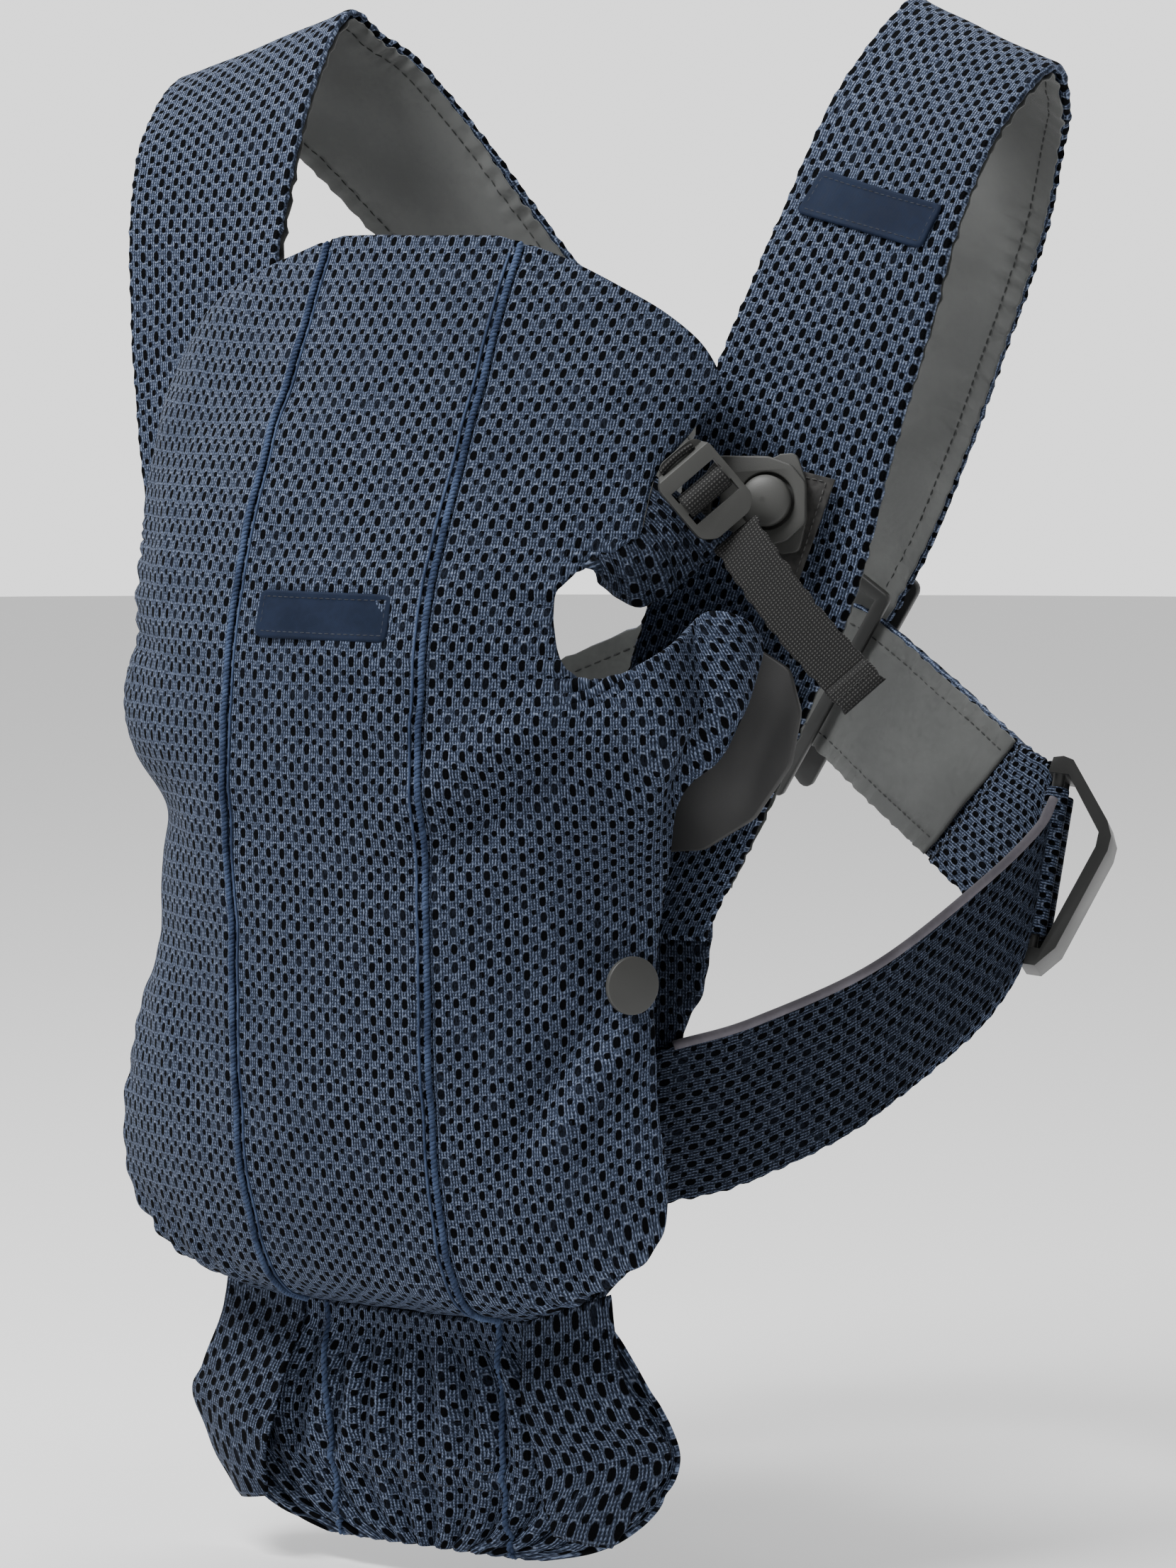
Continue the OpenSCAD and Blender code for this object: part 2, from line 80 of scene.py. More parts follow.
# height, middle, half width, depth
SKIRT = [
    [-494, -146.6, 83, 4], [-502, -145.4, 86, 6], [-509, -145.4, 93, 8],
    [-522, -146, 106, 12], [-540, -146, 115, 14],
    [-556, -144, 110, 12], [-570, -142, 97, 10], [-581, -140, 78, 8], [-588, -138, 50, 4]]
BELLY = [
    [-333, -120, 115, 12], [-365, -119, 110, 11], [-385, -119, 102, 9], [-448, -122, 96, 9],
    [-462, -126, 90, 8], [-478, -133, 82, 6], [-488, -139, 76, 3], [-494.5, -141, 73, 2]]
# place, direction across, width, and the share of GAP that one strap keeps from the other
STRAP = [
    [80, -122, -345, .99, .1, 0, 75, 0], [84, -115.5, -331, 1, .05, 0, 76, 0],
    [100, -109, -290, .98, 0, -.2, 77, 0], [117, -105, -244, .95, .1, -.28, 78, 0],
    [132, -100, -200, .94, .2, -.26, 79, 0],
    [143, -93, -150, .96, .18, -.2, 80, 0], [152, -82, -110, .98, .1, -.12, 80, 0],
    [160, -68, -69, 1, 0, -.02, 80, 0], [167, -46, -30, .97, -.12, -.18, 81, 0],
    [173, -13, -2, .93, -.18, -.33, 81, 0], [166, 8, -13, .9, -.08, -.41, 79, 0],
    [153, 24, -26, .88, .05, -.47, 77, 0], [134, 44, -56, .87, .11, -.48, 76, 0],
    [116, 56, -82, .84, .2, -.48, 76, 0], [98, 68, -109, .79, .26, -.54, 75, 0],
    [76, 84, -142, .74, .22, -.6, 73, .5], [42, 104, -194, .66, .12, -.72, 70, 1],
    [0, 113, -246, .57, .13, -.81, 68, 1], [-34, 114, -263, .52, .14, -.84, 68, 1],
    [-82, 91, -286, .62, .06, -.78, 68, .5], [-128, 64, -306, .66, 0, -.75, 66, 0],
    [-152, 52, -316, .42, -.18, -.89, 64, 0], [-163.6, 47.6, -323.4, .1, -.29, -.95, 62, 0]]
WAIST = [
    [87, -120, -420, .09, 0, 1, 61], [100.5, -112.5, -416, .09, 0, 1, 62],
    [120, -91, -409, .04, 0, 1, 62],
    [149, -50, -389, 0, .06, 1, 60], [170, -9, -361, 0, .14, .99, 60],
    [180, 12, -341, 0, .25, .97, 60], [182.3, 19, -329, 0, .3, .95, 60]]
TAIL = [
    [139, -131, -188, .68, .34, .64, 20], [151, -132, -202, .7, .3, .64, 20],
    [170, -130, -224, .7, .28, .65, 20], [193, -124, -248, .7, .26, .66, 20]]
LINK = [
    [120.5, -121.5, -175.5, 0, .13, .99, 13], [123.5, -127.5, -175, .2, .25, .94, 14],
    [126.5, -133.5, -174, .4, .4, .82, 16]]
RIGHT_TAIL = [
    [129, -125, -188, .72, .38, .58, 20], [128.5, -122.5, -204, .82, .36, .44, 20],
    [125, -121.5, -226, .92, .28, .28, 20], [122, -121, -250, .96, .2, .2, 20]]
RIGHT_LINK = [
    [120.5, -121.5, -175.5, 0, .13, .99, 13], [118.8, -124.5, -175, .2, .25, .94, 14],
    [117.2, -127.4, -174.3, .4, .4, .82, 15]]


def place(at, *turns):
    """Frame of a piece of hardware: its origin in mm and its three axes as columns."""
    m = np.eye(3)
    for axis, degrees in turns:
        m = m @ np.array(Matrix.Rotation(math.radians(degrees), 3, axis))
    return np.array(at, float), m


BUCKLE = place([138.5, -105.5, -178], ("Z", 18), ("X", 82))
LOCK = place([127.5, -136.5, -172], ("Z", 42), ("X", 85), ("Z", -50))
RIGHT_LOCK = place([117.5, -130.5, -172], ("Z", 42), ("X", 85), ("Z", -50))
SLIDER = place([176, 36, -325], ("X", -17.5), ("Z", 24))


def to_row(where, p):
    """Points given in a piece's own frame, in the row frame."""
    return where[0] + np.asarray(p, float) @ where[1].T


def mirrored(p, sign):
    """Points of the left side, or their mirror image when the sign is -1."""
    return p * np.array([sign, 1, 1])


# ---- curves and grids
def smooth(rows, n):
    """Spline through the rows, with n steps from each to the next."""
    p = np.array(rows, float)
    m = len(p) - 1
    q = np.vstack([2 * p[0] - p[1], p, 2 * p[m] - p[m - 1]])
    out = []
    for i in range(m):
        a, b, c, d = q[i:i + 4]
        for k in range(n):
            t = k / n
            out.append(0.5 * (2 * b + (c - a) * t + (2 * a - 5 * b + 4 * c - d) * t * t
                    + (3 * b - a - 3 * c + d) * t ** 3))
    return np.array(out + [p[m]])


def unit(v):
    return v / np.maximum(np.linalg.norm(v, axis=-1, keepdims=True), 1e-9)


def along(path):
    """Length from the start of a path to each of its points."""
    return np.concatenate([[0], np.cumsum(np.linalg.norm(np.diff(path, axis=0), axis=1))])


def from_ends(run):
    """Distance of each row to the nearer end."""
    return np.minimum(run, run[-1] - run)[:, None]


def to_edge(k, half_width, run):
    """Distance to the nearest edge of a grid whose columns are shares k of its half width."""
    return np.minimum((1 - np.abs(k))[None, :] * half_width[:, None], from_ends(run))


def between(one, other, q):
    """Grid of points at shares q of the way from one path to the other."""
    return one[:, None] * (1 - q[..., None]) + other[:, None] * q[..., None]


def grid_uv(across, down):
    return np.stack(np.broadcast_arrays(across, down), -1)


def grid_normals(p):
    return unit(np.cross(np.gradient(p, axis=1), np.gradient(p, axis=0)))


def step(x, a, b):
    """Nothing up to a, one from b on, and smooth between; a may be the larger."""
    t = np.clip((np.asarray(x, float) - a) / (b - a), 0, 1)
    return t * t * (3 - 2 * t)


def bump(x, centre, width):
    return np.exp(-((np.asarray(x, float) - centre) / width) ** 2)


def ripple(p, wave, seed):
    """Smooth seeded unevenness over points, about -1 to 1, with that wavelength."""
    rng = np.random.default_rng(seed)
    total = 0
    for _ in range(9):
        d = unit(rng.normal(size=p.shape[-1]))
        total = total + np.sin(p @ d * TAU / wave * rng.uniform(.7, 1.4) + rng.uniform(0, 6.28))
    return total / 3.2


def columns(half, r, pitch):
    """Shares from -1 to 1 of a half width, close together where the edge is rounded over r."""
    d = r * (1 - np.cos(np.linspace(0, np.pi / 2, 5)))[:-1]
    inner = np.linspace(r - half, half - r, max(4, int(2 * (half - r) / pitch)))
    return np.concatenate([d - half, inner, (half - d)[::-1]]) / half


def rounded(distance, r):
    """Share of the full thickness at a distance from an edge that is rounded over r."""
    return np.sqrt(np.clip(1 - (1 - np.clip(distance / r, 0, 1)) ** 2, 0, 1))


# ---- meshes
def linked(ob):
    bpy.context.scene.collection.objects.link(ob)
    return ob


def mesh_object(name, verts, faces, uv, material, flat=False):
    """verts in mm; uv in mm for each vertex."""
    me = bpy.data.meshes.new(name)
    me.from_pydata((np.asarray(verts, float) * MM).tolist(), [], faces)
    if uv is not None:
        layer = me.uv_layers.new(name="cloth")
        index = np.zeros(len(me.loops), np.int32)
        me.loops.foreach_get("vertex_index", index)
        layer.data.foreach_set("uv", (np.asarray(uv, float)[index]).astype(np.float32).ravel())
    me.update()
    bm = bmesh.new()
    bm.from_mesh(me)
    bmesh.ops.recalc_face_normals(bm, faces=bm.faces)
    bm.to_mesh(me)
    bm.free()
    if not flat:
        me.polygons.foreach_set("use_smooth", [True] * len(me.polygons))
    me.materials.append(material)
    return linked(bpy.data.objects.new(name, me))


def slab(name, mid, half, uv, material):
    """Closed cloth around a grid of middle points; its half thickness is nothing at the border."""
    m, n = mid.shape[:2]
    normal = grid_normals(mid)
    half = np.array(half, float) * np.ones((m, n))
    edge = np.ones((m, n), bool)
    edge[1:-1, 1:-1] = False
    half[edge] = 0
    front = (mid - normal * half[..., None]).reshape(-1, 3)
    back = (mid + normal * half[..., None])[~edge]
    fi = np.arange(m * n).reshape(m, n)
    bi = fi.copy()
    bi[~edge] = m * n + np.arange((~edge).sum())
    faces = []
    for g, order in ((fi, 1), (bi, -1)):
        quads = np.stack([g[:-1, :-1], g[:-1, 1:], g[1:, 1:], g[1:, :-1]], -1).reshape(-1, 4)
        faces.append(quads[:, ::order])
    uv = uv.reshape(-1, 2)
    return mesh_object(name, np.vstack([front, back]), np.vstack(faces).tolist(),
            np.vstack([uv, uv[(~edge).ravel()]]), material)


def frames(path):
    """Tangent and two directions across a path, carried along it without twist."""
    t = unit(np.gradient(path, axis=0))
    a = np.cross(t[0], [0.3, 1, 0.2])
    firsts = []
    for d in t:
        a = a - d * (a @ d)
        a = a / np.linalg.norm(a)
        firsts.append(a)
    a = np.array(firsts)
    return t, a, np.cross(t, a)


def resample(path, pitch):
    s = along(path)
    n = max(2, int(round(s[-1] / pitch)) + 1)
    q = np.linspace(0, s[-1], n)
    return np.stack([np.interp(q, s, path[:, i]) for i in range(path.shape[1])], 1)


def tube_parts(path, radius, sides):
    """Points, faces and uv of a closed tube; radius is one number or one for each point."""
    t, a, b = frames(path)
    r = np.ones(len(path)) * radius
    ang = np.arange(sides) * TAU / sides
    ring = np.cos(ang)[None, :, None] * a[:, None] + np.sin(ang)[None, :, None] * b[:, None]
    v = (path[:, None] + ring * r[:, None, None]).reshape(-1, 3)
    f = []
    for i in range(0, (len(path) - 1) * sides, sides):
        for j in range(sides):
            k = (j + 1) % sides
            f.append([i + j, i + k, i + sides + k, i + sides + j])
    f.append(list(range(sides))[::-1])
    f.append(list(range(len(v) - sides, len(v))))
    s = along(path)
    round_it = ang * radius if np.isscalar(radius) else ang
    uv = np.stack([np.tile(round_it, len(path)), np.repeat(s, sides)], 1)
    return v, f, uv


def gather(parts):
    """Several sets of points, faces and uv as one."""
    vs, fs, us, n = [], [], [], 0
    for v, f, u in parts:
        vs.append(v)
        fs += [[i + n for i in q] for q in f]
        us.append(u)
        n += len(v)
    return np.vstack(vs), fs, np.vstack(us)


def tube(name, path, radius, material, sides=10):
    return mesh_object(name, *gather([tube_parts(path, radius, sides)]), material)


def twisted(name, paths, r, pitch, material):
    """Cords of two plies laid round each other."""
    parts = []
    for path in paths:
        p = resample(path, pitch / 9)
        t, a, b = frames(p)
        s = along(p) * TAU / pitch
        for phase in (0, np.pi):
            c = p + 0.45 * r * (np.cos(s + phase)[:, None] * a + np.sin(s + phase)[:, None] * b)
            parts.append(tube_parts(c, 0.62 * r, 6))
    return mesh_object(name, *gather(parts), material)


def stitches(name, lines, material, length=3, gap=1.2, r=0.32):
    """Thread dashes along lines that already lie on the cloth."""
    parts = []
    for line in lines:
        s = along(line)
        for k in range(int(s[-1] / (length + gap))):
            q = k * (length + gap) + gap / 2 + length * np.array([0, .12, .5, .88, 1])
            c = np.stack([np.interp(q, s, line[:, i]) for i in range(3)], 1)
            parts.append(tube_parts(c, r * np.array([.35, .9, 1.15, .9, .35]), 5))
    return mesh_object(name, *gather(parts), material)


# ---- materials
class Net:
    """Short names for shader nodes."""

    def __init__(self, name):
        self.material = bpy.data.materials.new("look_" + name)
        self.material.use_nodes = True
        self.tree = self.material.node_tree
        self.shader = self.tree.nodes["Principled BSDF"]

    def new(self, kind, *inputs, **values):
        node = self.tree.nodes.new("ShaderNode" + kind)
        for k, v in values.items():
            setattr(node, k, v)
        for socket, v in zip(node.inputs, inputs):
            self.put(socket, v)
        return node

    def put(self, socket, value):
        if isinstance(value, bpy.types.NodeSocket):
            self.tree.links.new(value, socket)
        elif value is not None:
            socket.default_value = value

    def math(self, op, a, b=None, c=None, clamp=False):
        return self.new("Math", a, b, c, operation=op, use_clamp=clamp).outputs[0]

    def add(self, a, b, clamp=False):
        return self.math("ADD", a, b, clamp=clamp)

    def sub(self, a, b):
        return self.math("SUBTRACT", a, b)

    def mul(self, a, b):
        return self.math("MULTIPLY", a, b)

    def ramp(self, x, a, b, lo=0, hi=1):
        return self.new("MapRange", x, a, b, lo, hi, interpolation_type="SMOOTHSTEP").outputs[0]

    def mix(self, share, a, b):
        node = self.new("Mix", data_type="RGBA")
        self.put(node.inputs[0], share)
        for i, v in ((6, a), (7, b)):
            self.put(node.inputs[i], v if isinstance(v, bpy.types.NodeSocket) else (*v, 1))
        return node.outputs[2]

    def cloth_uv(self):
        split = self.new("SeparateXYZ", self.new("UVMap", uv_map="cloth").outputs[0])
        return split.outputs[0], split.outputs[1]

    def noise(self, scale, detail=2, vector=None, rough=0.5):
        node = self.new("TexNoise")
        if vector is None:
            vector = self.new("TexCoord").outputs["Object"]
        self.put(node.inputs["Vector"], vector)
        for k, v in (("Scale", scale), ("Detail", detail), ("Roughness", rough)):
            self.put(node.inputs[k], v)
        return node.outputs["Fac"]

    def vector(self, x, y, z=0):
        return self.new("CombineXYZ", x, y, z).outputs[0]

    def bump(self, height, distance, strength=1):
        node = self.new("Bump")
        node.inputs["Strength"].default_value = strength
        node.inputs["Distance"].default_value = distance
        self.put(node.inputs["Height"], height)
        return node.outputs[0]

    def finish(self, color, rough, normal=None, **fixed):
        linked = isinstance(color, bpy.types.NodeSocket)
        self.put(self.shader.inputs["Base Color"], color if linked else (*color, 1))
        self.put(self.shader.inputs["Roughness"], rough)
        self.put(self.shader.inputs["Normal"], normal)
        for k, v in fixed.items():
            self.shader.inputs[k.replace("_", " ")].default_value = v
        return self.material


# yarn of the mesh: painted shade in its grooves, its own colour between, a painted highlight on its ridges
# and at its knots; and painted shade in its holes, where the backing yarn shows shaded
YARN_GROOVE_SHADE, YARN_MID, YARN_HIGHLIGHT = (0.0045, 0.0062, 0.0115), (0.0225, 0.0305, 0.0520), (0.165, 0.206, 0.305)
KNOT_HIGHLIGHT, HOLE_SHADE, HOLE_SHADED_YARN = (0.24, 0.28, 0.37), (0.0008, 0.0010, 0.0016), (0.0095, 0.0125, 0.0205)


def scaled(color, k):
    return tuple(c * k for c in color)


def spacer_mesh(name, across_mm, along_mm, hole=1, backing=0.35, light=1):
    """Knitted spacer mesh: columns of tall holes, small holes halfway, ribs of yarn and knots, coloured
    with painted shade in the grooves and holes and painted highlights on the ridges and knots.
    """
    n = Net(name)
    u, v = n.cloth_uv()
    wob = n.sub(n.noise(0.14, 1, n.vector(u, v)), 0.5)
    u = n.add(u, n.mul(wob, 0.9))
    wob = n.sub(n.noise(0.11, 1, n.vector(v, u)), 0.5)
    v = n.add(v, n.mul(wob, 1.4))
    cu, cv = n.math("DIVIDE", u, across_mm), n.math("DIVIDE", v, along_mm)

    def hole_at(shift_u, shift_v, a, b):
        """Distance from a hole's middle, 1 at its edge, its offset in mm and a random value."""
        fu, fv = n.add(cu, shift_u), n.add(cv, shift_v)
        du = n.mul(n.sub(n.math("FRACT", fu), 0.5), across_mm)
        dv = n.mul(n.sub(n.math("FRACT", fv), 0.5), along_mm)
        cell = n.vector(n.math("FLOOR", fu), n.math("FLOOR", fv))
        cell = n.new("TexWhiteNoise", cell, noise_dimensions="2D")
        d = n.add(n.math("POWER", n.math("ABSOLUTE", n.math("DIVIDE", du, a)), 2.6),
                n.math("POWER", n.math("ABSOLUTE", n.math("DIVIDE", dv, b)), 2.6))
        return d, du, dv, cell.outputs[0]

    big, bu, bv, pick = hole_at(0, 0, 1.08 * hole, 1.8 * hole)
    small, su, sv, _ = hole_at(0.5, 0.42, 0.86 * hole, 1.05 * hole)
    frayed = n.mul(n.sub(n.noise(1.5, 2, n.vector(u, v)), 0.5), 0.9)
    open_big = n.ramp(n.add(big, frayed), 0.65, 1.35, 1, 0)
    open_small = n.sub(1, n.ramp(n.add(small, frayed), 0.6, 1.4))
    opened = n.math("MAXIMUM", open_big, open_small)

    rib = n.math("SINE", n.mul(n.add(u, n.mul(frayed, 0.35)), TAU * 6 / across_mm))
    loops = n.add(v, n.mul(rib, 0.25))
    loops = n.math("SINE", n.mul(loops, TAU / 1.25))
    streak = n.noise(1, 3, n.vector(n.mul(u, 1.9), n.mul(v, 0.55)), 0.7)
    yarn = n.add(n.math("MULTIPLY_ADD", rib, 0.26, 0.5), n.mul(loops, 0.12))
    yarn = n.add(yarn, n.mul(n.sub(streak, 0.5), 2.1), clamp=True)

    def knot(du, dv, low, w):
        a = n.math("POWER", n.math("DIVIDE", du, w), 2)
        b = n.math("POWER", n.math("DIVIDE", n.add(dv, low), 0.34), 2)
        return n.ramp(n.add(a, b), 0.2, 1.2, 1, 0)

    knots = n.math("MAXIMUM", knot(bu, bv, 2.15 * hole, 1), knot(su, sv, 1.15 * hole, 0.8))
    rim = n.ramp(n.add(big, n.mul(frayed, 0.4)), 1.1, 2.4, 1, 0)

    patch = n.noise(14, 2)
    dark, mid, pale = [scaled(c, light) for c in (YARN_GROOVE_SHADE, YARN_MID, YARN_HIGHLIGHT)]
    # painted light on the yarn: its grooves take the painted shade colour and its ridges the painted
    # highlight colour
    color = n.mix(n.ramp(yarn, 0.08, 0.5), dark, mid)
    color = n.mix(n.ramp(yarn, 0.5, 1), color, pale)
    # a ring round each big hole is drawn a little towards the painted highlight
    color = n.mix(n.mul(rim, 0.22), color, pale)
    # a painted highlight on each knot
    color = n.mix(n.mul(knots, 0.4), color, scaled(KNOT_HIGHLIGHT, light))
    color = n.mix(n.ramp(patch, 0.3, 0.75, 0, 0.22), color, mid)
    # painted shade in the holes: near black, with the shaded backing yarn in some cells
    behind = n.mul(n.ramp(pick, 1 - backing, 1), n.ramp(streak, 0.35, 0.6))
    shade_in_holes = n.mix(behind, HOLE_SHADE, HOLE_SHADED_YARN)
    color = n.mix(opened, color, shade_in_holes)
    height = n.add(n.mul(yarn, 0.30), n.mul(knots, 0.25))
    height = n.add(height, n.mul(rim, 0.12))
    height = n.sub(height, n.mul(opened, 1.1))
    rough = n.ramp(opened, 0, 1, 0.62, 0.95)
    # the specular is low: the yarn's highlights are painted into its colour
    return n.finish(color, rough, n.bump(height, 0.0009, 0.9), Specular_IOR_Level=0.06)


def plain_cloth(name, dark, pale, rough=0.6, weave=0.3, soft=60, depth=0.0006, **fixed):
    """Close cloth: a fine weave, cloudy colour and soft creases."""
    n = Net(name)
    u, v = n.cloth_uv()
    across, down_it = [n.math("SINE", n.mul(c, TAU / weave)) for c in (u, v)]
    grain = n.mul(across, down_it)
    cloud = n.noise(soft, 3)
    fine = n.noise(420, 2)
    speckle = n.mul(n.sub(fine, 0.5), 0.5)
    color = n.mix(n.ramp(n.add(cloud, speckle), 0.3, 0.72), dark, pale)
    height = n.add(n.mul(grain, 0.10), n.mul(cloud, 0.9))
    height = n.add(height, n.mul(fine, 0.12))
    rough = n.ramp(fine, 0.3, 0.7, rough - 0.05, rough + 0.08)
    return n.finish(color, rough, n.bump(height, depth, 0.8), **fixed)


def woven_webbing(name, across_mm=1.36, along_mm=1.18):
    """Black webbing with a fleck of paler yarn in each cell of its weave."""
    n = Net(name)
    u, v = n.cloth_uv()
    du = n.sub(n.math("FRACT", n.math("DIVIDE", u, across_mm)), 0.5)
    dv = n.sub(n.math("FRACT", n.math("DIVIDE", v, along_mm)), 0.5)
    fuzz = n.mul(n.sub(n.noise(2.2, 2, n.vector(u, v)), 0.5), 0.5)
    du, dv = n.math("POWER", n.mul(du, 2.4), 2), n.math("POWER", n.mul(dv, 3.4), 2)
    d = n.add(du, dv)
    fleck = n.ramp(n.add(d, fuzz), 0.15, 1.1, 1, 0)
    color = n.mix(fleck, (0.0022, 0.0022, 0.0024), (0.042, 0.042, 0.040))
    height = n.add(fleck, n.mul(n.noise(3, 2, n.vector(u, v)), 0.3))
    return n.finish(color, n.ramp(fleck, 0, 1, 0.75, 0.5), n.bump(height, 0.0004, 1),
            Specular_IOR_Level=0.3)


def moulded(name, color, rough):
    """Moulded plastic or drawn wire: cloudy colour, a fine grain and rubbed patches."""
    n = Net(name)
    cloud, fine = n.noise(26, 2), n.noise(2600, 2)
    wear = n.ramp(n.noise(95, 4, rough=0.65), 0.62, 0.8)
    pale = tuple(min(1, c * 1.35 + 0.004) for c in color)
    shade = n.mix(n.ramp(cloud, 0.3, 0.75), color, pale)
    shade = n.mix(n.mul(wear, 0.25), shade, scaled(color, 1.8))
    rough = n.ramp(cloud, 0.3, 0.7, rough - 0.05, rough + 0.06)
    return n.finish(shade, rough, n.bump(fine, 0.00006, 0.7), Specular_IOR_Level=0.42)


panel_mesh = spacer_mesh("panel_mesh", 6.8, 6.8, hole=1.12, backing=0.4)
strap_mesh = spacer_mesh("strap_mesh", 7, 6.5, hole=1.16, backing=0.06, light=1.1)
open_mesh = spacer_mesh("open_mesh", 8.6, 8.4, hole=1.5, backing=0.1, light=0.8)
# a shaded copy of the mesh, at 0.55 of its colours: painted shade
shaded_mesh = spacer_mesh("shaded_mesh", 7, 6.6, hole=1.12, backing=0.3, light=0.55)
lining = plain_cloth("lining", (0.044, 0.048, 0.046), (0.074, 0.079, 0.075), 0.42, 0.35, 22,
        depth=0.0016, Specular_IOR_Level=0.5, Sheen_Weight=0.15)
thread = plain_cloth("thread", (0.012, 0.013, 0.013), (0.026, 0.028, 0.027))
navy_thread = plain_cloth("navy_thread", (0.010, 0.013, 0.021), (0.030, 0.038, 0.058))
patch_thread = plain_cloth("patch_thread", (0.045, 0.045, 0.044), (0.085, 0.085, 0.083))
cord_cloth = plain_cloth("cord_cloth", (0.022, 0.034, 0.070), (0.058, 0.085, 0.155), weave=0.4,
        Specular_IOR_Level=0.1)
edge_cloth = plain_cloth("edge_cloth", (0.072, 0.064, 0.080), (0.115, 0.104, 0.124), weave=0.45,
        soft=70, Sheen_Weight=0.1)
label_cloth = plain_cloth("label_cloth", (0.0078, 0.0118, 0.0245), (0.0112, 0.0170, 0.0345),
        weave=0.5, soft=40, depth=0.0003, Specular_IOR_Level=0.05)
felt = plain_cloth("felt", (0.010, 0.0098, 0.0095), (0.026, 0.025, 0.024), 0.85, 0.8, 260, depth=0.0008)
webbing = woven_webbing("webbing")
plastic = moulded("plastic", (0.030, 0.0305, 0.0285), 0.5)
slider_plastic = moulded("slider_plastic", (0.019, 0.0195, 0.0190), 0.48)
guard_plastic = moulded("guard_plastic", (0.021, 0.021, 0.021), 0.6)
steel = moulded("steel", (0.55, 0.55, 0.56), 0.32)
steel.node_tree.nodes["Principled BSDF"].inputs["Metallic"].default_value = 1

SLOTS = {"patch_thread": "patch_cloth", "felt": "patch_cloth", "cord_cloth": "piping_cord",
         "edge_cloth": "piping_cord", "label_cloth": "label_cloth", "webbing": "webbing",
         "plastic": "grey_plastic", "slider_plastic": "grey_plastic", "guard_plastic": "guard_sheet",
         "steel": "spring_steel"}


def fit(obj, body, *nodes, span=None):
    """Puts a finished piece on its body, or, when given a span, bakes its place into its mesh and leaves
    it on no body; hides the CAD nodes it stands for and names its slot.
    """
    if span is None:
        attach(obj, body)
    else:
        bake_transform(obj)
    if nodes:
        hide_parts(*nodes)
    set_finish(obj, SLOTS.get(obj.data.materials[0].name.removeprefix("look_"), "mesh_fabric"))
    return obj


def declare(obj):
    """Works out the width and length of a sheet's uv and the area of its faces, and keeps none of them."""
    area = sum(p.area for p in obj.data.polygons) / 2
    uv = np.zeros(len(obj.data.loops) * 2, np.float32)
    obj.data.uv_layers["cloth"].data.foreach_get("uv", uv)
    uv = uv.reshape(-1, 2)
    width, length = float(np.ptp(uv[:, 0])) * MM, float(np.ptp(uv[:, 1])) * MM
    area = min(area, width * length)


# ---- pouch: front panel and head support
PANEL = ("front_panel", "head_support")
FOLD = ((0, -0.18, -0.178), (0, -0.172, -0.122))
share = columns(150, 2.2, 2.2)


def pouch_point(row, s):
    """Points of the pouch's rows at shares s across, from -1 on the right to 1 on the left."""
    z, y, half_left, depth, angle_left, lift_left, angle_right, lift_right, half_right = row.T[:, :, None]
    left = s >= 0
    a = np.radians(np.where(left, angle_left, angle_right)) * s
    x = np.where(left, half_left, half_right) * np.sin(a)
    rise = np.where(left, lift_left, lift_right) * np.abs(s) ** np.where(left, 8, 3)
    return np.stack([x, y + depth * (1 - np.cos(a)), z + rise], -1)


def even_rows(table, pitch):
    """Rows of the pouch about one pitch apart where they are furthest from each other."""
    fine = smooth(table, 24)
    p = pouch_point(fine, np.array([[-1, -.5, 0, .5, .8, 1]]))
    run = np.concatenate([[0], np.cumsum(np.linalg.norm(np.diff(p, axis=0), axis=2).max(1))])
    q = np.linspace(0, run[-1], int(run[-1] / pitch))
    return np.stack([np.interp(q, run, fine[:, k]) for k in range(fine.shape[1])], 1)


rows = even_rows(POUCH, 1.9)
front = pouch_point(rows, share[None, :])
inward = grid_normals(front)
inward = inward * np.sign(inward[len(rows) // 2, len(share) // 2, 1])
arc = np.concatenate([np.zeros((len(rows), 1)),
        np.cumsum(np.linalg.norm(np.diff(front, axis=1), axis=2), axis=1)], 1)
centre = arc.shape[1] // 2
pouch_u = arc - arc[:, centre - 1:centre + 1].mean(1)[:, None]
edge_distance = np.minimum(arc, arc[:, -1:] - arc)
down = along(rows[:, [0, 1]])
z = rows[:, 0][:, None]
x = front[..., 0]
height = front[..., 2]


